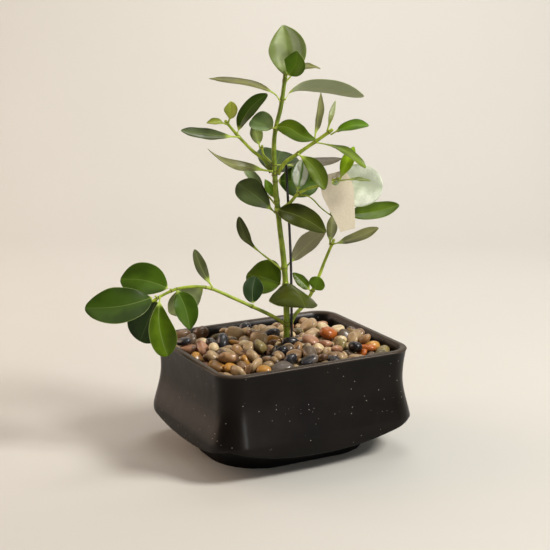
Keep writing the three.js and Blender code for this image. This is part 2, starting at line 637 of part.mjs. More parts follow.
// A stiff card with round shoulders and a narrow foot, hanging from a punched hole.
function tagGeometry() {
  const foot = TAG_HOLE_TO_TOP - TAG_LENGTH;
  const shoulder = TAG_SHOULDER / 2;
  const outline = new THREE.Shape();
  outline.moveTo(-TAG_END / 2, foot);
  outline.lineTo(TAG_END / 2, foot);
  outline.lineTo(shoulder, -TAG_SHOULDER_DROP);
  outline.quadraticCurveTo(shoulder, TAG_HOLE_TO_TOP, TAG_TOP_HALF, TAG_HOLE_TO_TOP);
  outline.lineTo(-TAG_TOP_HALF, TAG_HOLE_TO_TOP);
  outline.quadraticCurveTo(-shoulder, TAG_HOLE_TO_TOP, -shoulder, -TAG_SHOULDER_DROP);
  outline.closePath();
  const hole = new THREE.Path();
  hole.absarc(0, 0, TAG_HOLE_RADIUS, 0, Math.PI * 2, true);
  outline.holes.push(hole);
  const settings = { depth: TAG_THICKNESS, bevelEnabled: false, curveSegments: 12 };
  return new THREE.ExtrudeGeometry(outline, settings);
}

function makeTag() {
  const mesh = named('hang_tag', tagGeometry(), 'card');
  mesh.position.copy(TAG_PLACE);
  mesh.rotation.set(radians(90), 0, 0);
  mesh.rotateZ(radians(TAG_LEAN));
  return mesh;
}

// ---------------------------------------------------------------- whole plant

function makePlant() {
  const plant = new THREE.Group();
  plant.position.copy(PLANT_PLACE);
  plant.rotation.z = radians(PLANT_TURN);
  Object.entries(stems).map(makeStem).forEach((mesh) => plant.add(mesh));
  plant.add(named('support_stake', rodGeometry(stake.curve, stake.radius, 8, 14), 'stake'));
  plant.add(makeTag());
  LEAVES.map(makeLeaf).forEach((mesh) => plant.add(mesh));
  return plant;
}

// The buried end of a rod that stands in the fill, in the planter's frame and a little longer below.
function inPlanterFrame(rod) {
  const turn = new THREE.Matrix4().makeRotationZ(radians(PLANT_TURN)).setPosition(PLANT_PLACE);
  const points = [];
  for (let i = 0; i <= 12; i += 1) {
    points.push(rod.curve.getPointAt((i / 12) * BURIED_SHARE).applyMatrix4(turn));
  }
  points[0].z -= 2;
  return { curve: new THREE.CatmullRomCurve3(points), radius: (t) => rod.radius(t * BURIED_SHARE) };
}

const standing = [mainStem, stake].map(inPlanterFrame);
const model = new THREE.Group();
model.add(makePlanter());
model.add(makeSoil(standing));
model.add(makePebbleBed(standing));
model.add(makePlant());

export default model;
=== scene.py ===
"""A young potted clusia: thick oval leaves on a green stem, in a black ceramic planter under river pebbles.

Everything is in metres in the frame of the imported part: +Z is up and the planter stands on Z = 0. Leaves,
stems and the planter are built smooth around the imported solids, whose rings are found again from their own
triangles, so that each piece lies where its solid does.
"""

import logging
import math
import random
from dataclasses import dataclass, field
from enum import Enum
from typing import Any, Mapping, Sequence

import bmesh
import bpy
import numpy as np
from mathutils import Euler, Matrix, Vector


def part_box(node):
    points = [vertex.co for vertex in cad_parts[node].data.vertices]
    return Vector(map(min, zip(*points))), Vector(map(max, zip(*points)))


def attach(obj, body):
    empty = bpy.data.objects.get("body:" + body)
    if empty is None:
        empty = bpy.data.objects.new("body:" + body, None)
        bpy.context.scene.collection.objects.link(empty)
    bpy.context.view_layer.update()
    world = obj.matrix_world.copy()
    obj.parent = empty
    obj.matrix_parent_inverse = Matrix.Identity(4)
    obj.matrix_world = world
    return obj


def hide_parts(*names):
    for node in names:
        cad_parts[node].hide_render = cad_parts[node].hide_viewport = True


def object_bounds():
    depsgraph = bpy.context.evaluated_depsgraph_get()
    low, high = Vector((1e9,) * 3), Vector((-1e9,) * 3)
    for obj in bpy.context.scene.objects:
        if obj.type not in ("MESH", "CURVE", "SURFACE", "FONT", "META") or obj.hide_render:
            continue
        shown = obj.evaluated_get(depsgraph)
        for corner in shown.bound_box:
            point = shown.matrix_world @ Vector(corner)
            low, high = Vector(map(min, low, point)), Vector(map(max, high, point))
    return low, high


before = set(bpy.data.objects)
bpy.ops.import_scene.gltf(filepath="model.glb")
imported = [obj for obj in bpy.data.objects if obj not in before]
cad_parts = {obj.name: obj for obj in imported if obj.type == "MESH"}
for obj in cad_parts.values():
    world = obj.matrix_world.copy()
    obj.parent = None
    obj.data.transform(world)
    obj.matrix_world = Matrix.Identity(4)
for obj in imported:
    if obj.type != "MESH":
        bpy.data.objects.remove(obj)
CAD_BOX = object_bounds()

Array = np.ndarray
Colour = tuple[float, float, float, float]
LOG = logging.getLogger("clusia")
MM = 0.001
WELD = 0.02 * MM
BODY = "root"


# ------------------------------------------------------------------ numbers and curves


def hexed(code: int) -> Colour:
    """Turns a screen colour into the linear colour that shaders use.

    Args:
        code: The screen colour, such as 0x2E4416.

    Returns:
        Linear red, green, blue and alpha.
    """
    parts = [((code >> shift) & 255) / 255 for shift in (16, 8, 0)]
    linear = [p / 12.92 if p <= 0.04045 else ((p + 0.055) / 1.055) ** 2.4 for p in parts]
    return (linear[0], linear[1], linear[2], 1.0)


def smoothstep(low: float, high: float, value: Array | float) -> Array:
    """Rises smoothly from 0 at low to 1 at high."""
    t = np.clip((np.asarray(value, float) - low) / (high - low), 0, 1)
    return t * t * (3 - 2 * t)


def blend(start: Array | float, end: Array | float, share: Array | float) -> Array:
    """Mixes two values, or two arrays of them."""
    return start + (end - start) * share


def unit(vectors: Array) -> Array:
    """Scales vectors to length one, along the last axis."""
    return vectors / np.maximum(np.linalg.norm(vectors, axis=-1, keepdims=True), 1e-12)


def curve_through(knots: Sequence[float], values: Array, at: Array) -> Array:
    """Runs a smooth cubic curve through values that are known at knots.

    Args:
        knots: Rising parameters of the known values.
        values: One value or vector for each knot.
        at: Parameters to read the curve at.

    Returns:
        One value or vector for each parameter in at.
    """
    k, v = np.asarray(knots, float), np.asarray(values, float)
    wide = (slice(None),) + (None,) * (v.ndim - 1)
    gaps = np.diff(k)
    slopes = np.diff(v, axis=0) / gaps[wide]
    before, after = gaps[:-1][wide], gaps[1:][wide]
    inner = (slopes[:-1] * after + slopes[1:] * before) / (before + after)
    first = 1.5 * slopes[:1] - 0.5 * inner[:1]
    last = 1.5 * slopes[-1:] - 0.5 * inner[-1:]
    tangents = np.concatenate([first, inner, last])
    i = np.clip(np.searchsorted(k, at, side="right") - 1, 0, len(k) - 2)
    t = ((at - k[i]) / gaps[i])[wide]
    h = gaps[i][wide]
    return (
        v[i] * (2 * t**3 - 3 * t**2 + 1)
        + tangents[i] * h * (t**3 - 2 * t**2 + t)
        + v[i + 1] * (3 * t**2 - 2 * t**3)
        + tangents[i + 1] * h * (t**3 - t**2)
    )


# ------------------------------------------------------------------ meshes


def grid_faces(rows: int, columns: int, first: int = 0, tube: bool = False) -> list[tuple[int, ...]]:
    """Joins a grid of points into four-sided faces.

    Args:
        rows: Rows of points.
        columns: Points in a row.
        first: The number of the first point.
        tube: True if the last column joins the first.

    Returns:
        The faces as point numbers, row by row.
    """
    faces = []
    for row in range(rows - 1):
        start = first + row * columns
        for column in range(columns if tube else columns - 1):
            a, b = start + column, start + (column + 1) % columns
            faces.append((a, b, b + columns, a + columns))
    return faces


@dataclass
class Draft:
    """Points, faces and values of one piece on its way to becoming a mesh."""

    points: list[Array] = field(default_factory=list)
    faces: list[tuple[int, ...]] = field(default_factory=list)
    values: dict[str, list[Array]] = field(default_factory=dict)
    count: int = 0

    def add_points(self, points: Array, values: Mapping[str, Array]) -> int:
        """Adds points with their values.

        Args:
            points: Points, whose last axis is xyz.
            values: Named numbers or colours, one for each point or one for all.

        Returns:
            The number of the first point.
        """
        flat = np.asarray(points, float).reshape(-1, 3)
        self.points.append(flat)
        for name, value in values.items():
            shape = (len(flat), 4) if np.ndim(value) and np.shape(value)[-1] == 4 else (len(flat),)
            self.values.setdefault(name, []).append(np.broadcast_to(value, shape).reshape(shape))
        first = self.count
        self.count += len(flat)
        return first

    def add_loft(self, rings: Array, values: Mapping[str, Array]) -> None:
        """Joins rings of points into one skin, closed at both ends with a fan.

        Args:
            rings: Points as (ring, place round it, xyz).
            values: Named values, each shaped (ring, place round it).
        """
        rows, around = rings.shape[:2]
        flat = {name: np.asarray(value, float).reshape(-1) for name, value in values.items()}
        first = self.add_points(rings, flat)
        self.faces += grid_faces(rows, around, first, tube=True)
        for row, flip in ((0, True), (rows - 1, False)):
            ends = {name: np.mean(np.asarray(value)[row]) for name, value in values.items()}
            apex = self.add_points(rings[row].mean(axis=0), ends)
            for i in range(around):
                a = first + row * around + i
                b = first + row * around + (i + 1) % around
                self.faces.append((b, a, apex) if flip else (a, b, apex))

    def build(
        self, name: str, material: bpy.types.Material, weld: bool = False
    ) -> bpy.types.Object:
        """Makes the object, smooth shaded and facing out, with its values as attributes.

        Args:
            name: The piece's name.
            material: Its finish.
            weld: True to join points that meet.

        Returns:
            The object, linked to the scene.
        """
        mesh = bpy.data.meshes.new(name)
        mesh.from_pydata(np.concatenate(self.points).tolist(), [], self.faces)
        for key, parts in self.values.items():
            value = np.concatenate(parts).astype(np.float32)
            kind = "FLOAT_COLOR" if value.ndim == 2 else "FLOAT"
            layer = mesh.attributes.new(key, kind, "POINT")
            layer.data.foreach_set("color" if value.ndim == 2 else "value", value.ravel())
        bm = bmesh.new()
        bm.from_mesh(mesh)
        if weld:
            bmesh.ops.remove_doubles(bm, verts=bm.verts, dist=WELD)
        bmesh.ops.recalc_face_normals(bm, faces=bm.faces)
        bm.to_mesh(mesh)
        bm.free()
        mesh.shade_smooth()
        mesh.materials.append(material)
        piece = bpy.data.objects.new(name, mesh)
        bpy.context.scene.collection.objects.link(piece)
        return piece


def place_piece(piece: bpy.types.Object, slot: str, *nodes: str) -> bpy.types.Object:
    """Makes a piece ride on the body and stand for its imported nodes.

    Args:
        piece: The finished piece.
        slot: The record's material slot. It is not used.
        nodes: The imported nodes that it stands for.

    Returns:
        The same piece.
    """
    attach(piece, BODY)
    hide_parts(*nodes)
    LOG.info("%s: %d faces, stands for %s", piece.name, len(piece.data.polygons), ", ".join(nodes))
    return piece


@dataclass
class CadLoft:
    """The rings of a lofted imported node, found again from its triangles."""

    node: str
    ends: tuple[Array, Array]
    rings: list[Array]

    @classmethod
    def of(cls, node: str) -> "CadLoft":
        """Walks a node's mesh from the middle of one end to the other, ring by ring.

        Args:
            node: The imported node's name.

        Returns:
            The loft, with each ring's points in order round it.
        """
        bm = bmesh.new()
        bm.from_mesh(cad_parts[node].data)
        bmesh.ops.remove_doubles(bm, verts=bm.verts, dist=WELD)
        most_on_a_side = 6
        tips = [v for v in bm.verts if len(v.link_edges) > most_on_a_side]
        if len(tips) != 2:
            raise ValueError(f"{node} has {len(tips)} ends")
        layer, seen, rings = [tips[0]], {tips[0]}, []
        while True:
            near = {e.other_vert(v) for v in layer for e in v.link_edges} - seen
            if near == {tips[1]} or not near:
                break
            near.discard(tips[1])
            seen |= near
            layer = cls._in_order(near)
            rings.append(np.array([v.co[:] for v in layer]))
        ends = (np.array(tips[0].co), np.array(tips[1].co))
        bm.free()
        return cls(node, ends, rings)

    @staticmethod
    def _in_order(ring: set[bmesh.types.BMVert]) -> list[bmesh.types.BMVert]:
        """Puts the points of one ring in order round it.

        Args:
            ring: The points.

        Returns:
            The points, each beside the next.
        """
        start = min(ring, key=lambda v: tuple(v.co))
        order = [start]
        while len(order) < len(ring):
            around = [e.other_vert(order[-1]) for e in order[-1].link_edges]
            nearby = [v for v in around if v in ring and v not in order]
            order.append(min(nearby, key=lambda v: (v.co - order[-1].co).length))
        return order

    def turned(self) -> "CadLoft":
        """The same loft walked from its other end."""
        return CadLoft(self.node, (self.ends[1], self.ends[0]), self.rings[::-1])


# ------------------------------------------------------------------ shader sums


class Wire:
    """One output of a shader node, on which sums are written as plain Python.

    A node with no outputs gives a wire with no socket.
    """

    def __init__(self, graph: "Graph", socket: bpy.types.NodeSocket | None) -> None:
        """Keeps the socket and the graph it belongs to."""
        self.graph = graph
        self.socket = socket

    def __add__(self, other: "Wire | float") -> "Wire":
        """self + other."""
        return self.graph.math("ADD", self, other)

    __radd__ = __add__

    def __sub__(self, other: "Wire | float") -> "Wire":
        """self - other."""
        return self.graph.math("SUBTRACT", self, other)

    def __rsub__(self, other: float) -> "Wire":
        """other - self."""
        return self.graph.math("SUBTRACT", other, self)

    def __mul__(self, other: "Wire | float") -> "Wire":
        """self * other."""
        return self.graph.math("MULTIPLY", self, other)

    __rmul__ = __mul__

    def __truediv__(self, other: "Wire | float") -> "Wire":
        """self / other."""
        return self.graph.math("DIVIDE", self, other)

    def __pow__(self, other: "Wire | float") -> "Wire":
        """self ** other."""
        return self.graph.math("POWER", self, other)

    def __abs__(self) -> "Wire":
        """abs(self)."""
        return self.graph.math("ABSOLUTE", self)


class Graph:
    """The shader nodes of one material or of the room's glow, with one way to add a node."""

    def __init__(self, name: str, room: bpy.types.World | None = None) -> None:
        """Starts the nodes of a material, or of a room's glow.

        Args:
            name: The new material's name.
            room: The room, where its glow is to be made and no material is.
        """
        self.owner = room or bpy.data.materials.new(name)
        self.owner.use_nodes = True
        self.tree = self.owner.node_tree
        self.tree.nodes.clear()

    def node(
        self,
        kind: str,
        settings: Mapping[str, Any] | None = None,
        inputs: Mapping[str | int, Any] | None = None,
        output: str | int = 0,
    ) -> Wire:
        """Adds a node.

        Args:
            kind: The node's type, without its ShaderNode beginning.
            settings: Its properties, set first. "stops" are a ramp's (place, colour) pairs.
            inputs: A value or a wire for each named or numbered socket.
            output: The socket to hand back.

        Returns:
            The wire that leaves the node.
        """
        made = self.tree.nodes.new("ShaderNode" + kind)
        for key, value in (settings or {}).items():
            if key == "stops":
                self._set_stops(made.color_ramp, value)
            else:
                setattr(made, key, value)
        for key, value in (inputs or {}).items():
            if isinstance(value, Wire):
                self.tree.links.new(value.socket, made.inputs[key])
            else:
                made.inputs[key].default_value = value
        return Wire(self, made.outputs[output] if made.outputs else None)

    @staticmethod
    def _set_stops(ramp: bpy.types.ColorRamp, stops: Sequence[tuple[float, Colour]]) -> None:
        """Gives a colour ramp its stops.

        Args:
            ramp: The ramp.
            stops: Its (place, colour) pairs.
        """
        while len(ramp.elements) < len(stops):
            ramp.elements.new(1.0)
        for element, (place, colour) in zip(ramp.elements, stops):
            element.position = place
            element.color = colour

    def math(self, operation: str, *values: Wire | float) -> Wire:
        """A Math node on wires and numbers."""
        return self.node("Math", {"operation": operation}, dict(enumerate(values)))

    def value(self, name: str) -> Wire:
        """A number that the mesh carries under that name."""
        return self.node("Attribute", {"attribute_name": name}, output="Fac")

    def colour(self, name: str) -> Wire:
        """A colour that the mesh carries under that name."""
        return self.node("Attribute", {"attribute_name": name}, output="Color")

    def place(self) -> Wire:
        """The place on the piece, in metres in the part's frame."""
        return self.node("TexCoord", output="Object")

    def step(self, value: Wire, low: float, high: float) -> Wire:
        """Makes a smooth step.

        Args:
            value: What the step is taken on.
            low: Where the step is 0. It may be the greater of the two.
            high: Where the step is 1.

        Returns:
            A number between 0 and 1.
        """
        falling = low > high
        ends = (high, low) if falling else (low, high)
        rise = self.node(
            "MapRange", {"interpolation_type": "SMOOTHSTEP"}, {0: value, 1: ends[0], 2: ends[1]}
        )
        return 1 - rise if falling else rise

    def mix(self, share: Wire | float, start: Wire | Colour, end: Wire | Colour) -> Wire:
        """Mixes two colours."""
        return self.node("Mix", {"data_type": "RGBA"}, {0: share, 6: start, 7: end}, 2)

    def shade(self, colour: Wire | Colour, amount: Wire) -> Wire:
        """Makes a colour lighter or darker.

        Args:
            colour: The colour.
            amount: What it is multiplied by, where 1 leaves it alone.

        Returns:
            The new colour.
        """
        grey = self.node("CombineColor", None, {0: amount, 1: amount, 2: amount})
        settings = {"data_type": "RGBA", "blend_type": "MULTIPLY"}
        return self.node("Mix", settings, {0: 1.0, 6: colour, 7: grey}, 2)

    def stretch(self, vector: Wire, by: tuple[float, float, float]) -> Wire:
        """Scales a vector on each axis."""
        return self.node("VectorMath", {"operation": "MULTIPLY"}, {0: vector, 1: by})

    def shift(self, vector: Wire, by: Wire, way: tuple[float, float, float]) -> Wire:
        """Moves a vector by a number times a direction."""
        step = self.node("VectorMath", {"operation": "SCALE"}, {0: way, "Scale": by})
        return self.node("VectorMath", {"operation": "ADD"}, {0: vector, 1: step})

    def noise(self, vector: Wire, scale: float, detail: float = 3.0, rough: float = 0.55) -> Wire:
        """Cloudy noise between 0 and 1; scale is waves to the metre."""
        inputs = {"Vector": vector, "Scale": scale, "Detail": detail, "Roughness": rough}
        return self.node("TexNoise", None, inputs)

    def bump(self, height: Wire, distance: float, strength: float = 1.0) -> Wire:
        """Turns a height, in units of a distance in metres, into a normal."""
        return self.node("Bump", None, {"Height": height, "Distance": distance, "Strength": strength})

    def finish(self, inputs: Mapping[str, Any]) -> bpy.types.Material:
        """Makes the surface and ends the material.

        Args:
            inputs: A value or a wire for each named socket of the surface.

        Returns:
            The material.
        """
        surface = self.node("BsdfPrincipled", None, inputs)
        self.node("OutputMaterial", None, {"Surface": surface})
        return self.owner


# ------------------------------------------------------------------ finishes


@dataclass(frozen=True)
class CeramicFinish:
    """Satin black-brown ceramic with fine white specks, matt under the lip, where painted shade darkens it,
    and with a painted sheen on the rim's top.
    """

    rim_height: float
    dark: Colour = hexed(0x0A0807)
    warm: Colour = hexed(0x120E0B)
    speck: Colour = hexed(0xB9B5AC)
    rim_sheen: Colour = hexed(0x40362C)
    roughness: float = 0.3
    bare_roughness: float = 0.95
    speck_cells: float = 480.0
    speck_rarity: tuple[float, float] = (0.97, 0.974)
    rim_band: tuple[float, float] = (3.2 * MM, 0.8 * MM)
    rim_sheen_share: float = 0.75
    relief: float = 0.6 * MM

    def material(self) -> bpy.types.Material:
        """Builds the finish.

        Returns:
            The material.
        """
        g = Graph("satin_ceramic")
        place, shaded_underside = g.place(), g.value("shaded_underside")
        clouds = g.noise(place, 14.0)
        fine = g.noise(place, 900.0, 2.0)
        body = g.mix(g.step(clouds, 0.35, 0.7), self.dark, self.warm)
        body = g.shade(body, 0.9 + 0.2 * fine)
        # Painted shade: everything under the lip is painted darker.
        body = g.shade(body, 1.0 - 0.6 * shaded_underside)
        height = g.node("SeparateXYZ", None, {0: place}, "Z")
        # Painted sheen: the rim's rounded top is painted lighter brown, where it faces the light.
        rim = g.step(height, *(self.rim_height - below for below in self.rim_band))
        body = g.mix(rim * self.rim_sheen_share, body, self.rim_sheen)
        colour = g.mix(self._specks(g, place) * (1 - shaded_underside) * 0.9, body, self.speck)
        gloss = self.roughness + 0.12 * (g.noise(place, 60.0) - 0.5) + 0.05 * fine
        waves = g.noise(place, 26.0, 2.0)
        height = waves * 0.9 + fine * 0.035 + g.noise(place, 240.0, 2.0) * 0.05
        return g.finish(
            {
                "Base Color": colour,
                "Roughness": gloss + (self.bare_roughness - gloss) * shaded_underside,
                "Specular IOR Level": 0.12,
                "Normal": g.bump(height, self.relief),
            }
        )

    def _specks(self, g: Graph, place: Wire) -> Wire:
        """Scatters round specks, each in the middle of a cell.

        Args:
            g: The finish's graph.
            place: The place on the piece.

        Returns:
            1 on a speck and 0 beside it.
        """
        cells = {"Vector": place, "Scale": self.speck_cells}
        reach = g.node("TexVoronoi", None, cells, "Distance")
        pick = g.node("SeparateColor", None, {0: g.node("TexVoronoi", None, cells, "Color")})
        return g.step(reach, 0.25, 0.12) * g.step(pick, *self.speck_rarity)


@dataclass(frozen=True)
class PebbleFinish:
    """Polished river pebbles, each with its own two tones, bands and seams."""

    seam: Colour = hexed(0x54402F)
    fleck: Colour = hexed(0x3B2F25)
    roughness: float = 0.3
    relief: float = 0.25 * MM

    def material(self) -> bpy.types.Material:
        """Builds the finish from the colours and seeds that the pebbles carry.

        Returns:
            The material.
        """
        g = Graph("river_pebble")
        place = g.shift(g.place(), g.value("pebble_seed"), (0.73, 0.41, 0.57))
        mottle = g.noise(place, 130.0, 4.0, 0.6)
        grain = g.noise(place, 900.0, 2.0, 0.7)
        band = g.value("pebble_band") + (mottle - 0.5) * 0.7
        second = g.step(band, 0.5, 0.62)
        colour = g.mix(second, g.colour("pebble_tone"), g.colour("pebble_other"))
        seams = g.step(abs(band - 0.3), 0.035, 0.012)
        colour = g.mix(seams * 0.5, colour, self.seam)
        colour = g.shade(colour, 0.4 + 0.86 * mottle + 0.2 * (grain - 0.5))
        flecks = g.step(g.noise(place, 420.0, 3.0, 0.7), 0.62, 0.7)
        colour = g.mix(flecks * 0.35, colour, self.fleck)
        return g.finish(
            {
                "Base Color": colour,
                "Roughness": self.roughness + 0.18 * (mottle - 0.4),
                "Specular IOR Level": 0.35,
                "Coat Weight": 0.12,
                "Coat Roughness": 0.1,
                "Normal": g.bump(mottle * 0.6 + grain * 0.12, self.relief),
            }
        )


@dataclass(frozen=True)
class SoilFinish:
    """Dark damp potting soil with fine bark."""

    dark: Colour = hexed(0x1C130D)
    bark: Colour = hexed(0x4A3423)
    relief: float = 1.2 * MM

    def material(self) -> bpy.types.Material:
        """Builds the finish.

        Returns:
            The material.
        """
        g = Graph("damp_soil")
        place = g.place()
        crumbs = g.noise(place, 420.0, 4.0, 0.7)
        chips = g.node("TexVoronoi", None, {"Vector": place, "Scale": 240.0}, "Distance")
        colour = g.mix(g.step(crumbs, 0.4, 0.75), self.dark, self.bark)
        return g.finish(
            {
                "Base Color": g.shade(colour, 0.7 + 0.5 * chips),
                "Roughness": 0.82 + 0.15 * crumbs,
                "Normal": g.bump(crumbs + 0.6 * chips, self.relief),
            }
        )


@dataclass(frozen=True)
class StemFinish:
    """Green bark in streaks of lime, with brown scars where leaves and branches leave."""

    name: str = "green_shoot"
    green: Colour = hexed(0x3C580A)
    lime: Colour = hexed(0xA8BA3A)
    scar: Colour = hexed(0x5E4A26)
    shaded: Colour = hexed(0x3F5810)
    relief: float = 0.18 * MM

    def material(self) -> bpy.types.Material:
        """Builds the finish.

        Returns:
            The material.
        """
        g = Graph(self.name)
        place = g.place()
        streaks = g.noise(g.stretch(place, (1.0, 1.0, 0.12)), 520.0, 3.0)
        clouds = g.noise(place, 60.0)
        scar = g.value("scar")
        age = g.value("age")
        youth = 0.45 * (1 - age) + g.step(clouds, 0.35, 0.68) * (0.55 + 0.45 * age)
        colour = g.mix(youth, self.green, self.lime)
        colour = g.mix(g.step(streaks, 0.5, 0.8) * 0.5, colour, self.shaded)
        colour = g.mix(age * g.step(streaks, 0.35, 0.6) * 0.6, colour, self.scar)
        colour = g.mix(g.step(scar + 0.25 * (streaks - 0.5), 0.45, 0.85), colour, self.scar)
        height = streaks * 0.5 + 0.5 * g.noise(place, 700.0)
        return g.finish(
            {
                "Base Color": colour,
                "Roughness": 0.42 + 0.25 * scar + 0.1 * (clouds - 0.5),
                "Specular IOR Level": 0.25,
                "Normal": g.bump(height, self.relief),
            }
        )


@dataclass(frozen=True)
class StakeFinish:
    """Black plastic-coated cane."""

    black: Colour = hexed(0x0B0B0D)
    sheen: Colour = hexed(0x26262A)
    relief: float = 0.06 * MM

    def material(self) -> bpy.types.Material:
        """Builds the finish.

        Returns:
            The material.
        """
        g = Graph("black_cane")
        drawn = g.noise(g.stretch(g.place(), (1.0, 1.0, 0.05)), 1400.0, 2.0)
        return g.finish(
            {
                "Base Color": g.mix(drawn * 0.3, self.black, self.sheen),
                "Roughness": 0.32 + 0.15 * drawn,
                "Normal": g.bump(drawn, self.relief),
            }
        )


@dataclass(frozen=True)
class CardFinish:
    """Smooth uncoated cream card with faint fibres."""

    cream: Colour = hexed(0xD6CCB4)
    fibre: Colour = hexed(0xC8BCA0)
    light: Colour = hexed(0xDED5BE)
    relief: float = 0.01 * MM

    def material(self) -> bpy.types.Material:
        """Builds the finish.

        Returns:
            The material.
        """
        g = Graph("cream_card")
        place = g.place()
        pulp = g.noise(place, 420.0, 3.0)
        across = g.noise(g.stretch(place, (1.0, 1.0, 0.3)), 2400.0, 2.0)
        colour = g.mix(g.step(pulp, 0.25, 0.8), self.cream, self.light)
        colour = g.mix(g.step(across, 0.55, 0.8) * 0.25, colour, self.fibre)
        return g.finish(
            {
                "Base Color": colour,
                "Roughness": 0.84 + 0.08 * pulp,
                "Normal": g.bump(across, self.relief),
            }
        )


class LeafTone(Enum):
    """The colours of a blade's two sides, from pale to dark. Each leaf's tones were matched to how bright it
    looks in place, so they hold painted light and shade as well as the leaf's own colour.
    """

    MIST = 0xCCDCA6
    CELADON = 0xA0B480
    LICHEN = 0x98A07C
    LIME = 0x9AA640
    APPLE = 0x88AA1A
    REED = 0x8A9C58
    DUSTY = 0x84885F
    SAGE = 0x788646
    TAUPE = 0x797659
    WILLOW = 0x6E8650
    MEADOW = 0x6A8C28
    KHAKI = 0x646640
    BRACKEN = 0x5C5C28
    PEAR = 0x586A1E
    CLOVER = 0x567A2E
    GRASS = 0x4A6A0A
    UMBER = 0x4A4434
    LODEN = 0x44502B
    MOSS = 0x44590A
    IVY = 0x3D421F
    FERN = 0x38500E
    BRONZE = 0x353C0A
    FOREST = 0x2C400A
    SPRUCE = 0x283D1B


@dataclass(frozen=True)
class LeafLook:
    """How one leaf looks: the tones of its upper side and its underside, and how waxy it is, which also sets
    its painted highlight streaks.
    """

    upper: LeafTone
    under: LeafTone = LeafTone.DUSTY
    wax_and_glints: float = 0.0


@dataclass(frozen=True)
class LeafFinish:
    """A thick waxy upper side with painted highlight streaks, a matte underside and a pale midrib, in the
    colours the leaf carries.
    """

    rib: Colour = hexed(0xA9B86C)
    glint_white: Colour = hexed(0xEEF4E4)
    stalk: Colour = hexed(0x9DB04A)
    spot: Colour = hexed(0x6A5A2E)
    roughness: float = 0.33
    rib_width: float = 0.45 * MM
    relief: float = 0.35 * MM
    vein_rows: float = 14.0
    vein_slant: float = 300.0

    def material(self) -> bpy.types.Material:
        """Builds the finish from the values that the leaf meshes carry.

        Returns:
            The material.
        """
        g = Graph("clusia_leaf")
        along, across = g.value("along"), g.value("across")
        edge, side = abs(g.value("edge")), g.value("side")
        wax_and_glints = g.value("leaf_wax_and_glints")
        shifted = g.shift(g.place(), g.value("leaf_seed"), (0.31, 0.77, 0.53))
        clouds = g.noise(shifted, 34.0, 2.0)
        grain = g.noise(shifted, 480.0, 3.0, 0.6)
        veins = self._veins(g, along, across) * g.step(clouds, 0.3, 0.6)
        lit = g.step(clouds + 0.3 * (0.5 - edge), 0.3, 0.7)
        tone = 0.68 + 0.56 * lit + 0.16 * (grain - 0.5) + 0.1 * veins
        blade = g.shade(g.colour("leaf_upper"), tone)
        glint = self._glints(g, along, clouds, grain)
        # Painted highlight: pale glint streaks laid over the blade.
        blade = g.mix(glint * wax_and_glints, blade, self.glint_white)
        under_tone = 0.84 + 0.2 * grain + 0.12 * clouds
        under = g.shade(g.colour("leaf_under"), under_tone + 0.14 * veins)
        colour = g.mix(side, under, blade)
        rib = g.step(abs(across), self.rib_width * 1.6, self.rib_width * 0.5) * (1 - 0.75 * along)
        colour = g.mix(rib * (0.42 - 0.22 * side), colour, self.rib)
        colour = g.mix(g.step(edge, 0.955, 0.995) * 0.32, colour, self.rib)
        colour = g.mix(g.value("stalk"), colour, g.shade(self.stalk, 0.8 + 0.4 * grain))
        spots = g.step(g.noise(shifted, 210.0, 2.0), 0.76, 0.81)
        colour = g.mix(spots * 0.3, colour, self.spot)
        height = veins * 0.1 + grain * 0.1 + clouds * 0.9
        return g.finish(
            {
                "Base Color": colour,
                "Roughness": self.roughness + 0.24 * (1 - side) + 0.12 * (grain - 0.5),
                "Specular IOR Level": 0.13,
                "Coat Weight": (0.03 + 0.4 * wax_and_glints) * side,
                "Coat Roughness": 0.12,
                "Normal": g.bump(height, self.relief),
            }
        )

    @staticmethod
    def _glints(g: Graph, along: Wire, clouds: Wire, grain: Wire) -> Wire:
        """Draws painted highlight streaks that run along the blade.

        Args:
            g: The finish's graph.
            along: The way along the blade.
            clouds: The broad noise that bends and breaks the streaks.
            grain: The fine noise that roughens their edges.

        Returns:
            How much painted highlight shows, between 0 and 1. A waxier leaf has a second and wider streaks.
        """
        wax_and_glints = g.value("leaf_wax_and_glints")
        spread = g.math("MAXIMUM", 1.6 * (wax_and_glints - 0.75), 0.0)
        out = g.value("edge") + 0.5 * (clouds - 0.5)
        left = g.step(abs(out + 0.42) - spread, 0.42, 0.2) * g.step(wax_and_glints, 0.1, 0.4)
        right = g.step(abs(out - 0.5) - spread, 0.3, 0.12)
        broken = 0.5 + 0.5 * g.step(clouds + 0.2 * grain, 0.45, 0.75)
        return g.math("MAXIMUM", left, right) * broken * g.step(along, 0.1, 0.3)

    def _veins(self, g: Graph, along: Wire, across: Wire) -> Wire:
        """Draws fine side veins that leave the midrib at a slant.

        Args:
            g: The finish's graph.
            along: The way along the blade.
            across: The distance from the midrib in metres.

        Returns:
            1 on a vein and 0 between them.
        """
        phase = along * self.vein_rows - abs(across) * self.vein_slant
        return g.step(g.math("SINE", phase * math.tau), 0.6, 0.97)
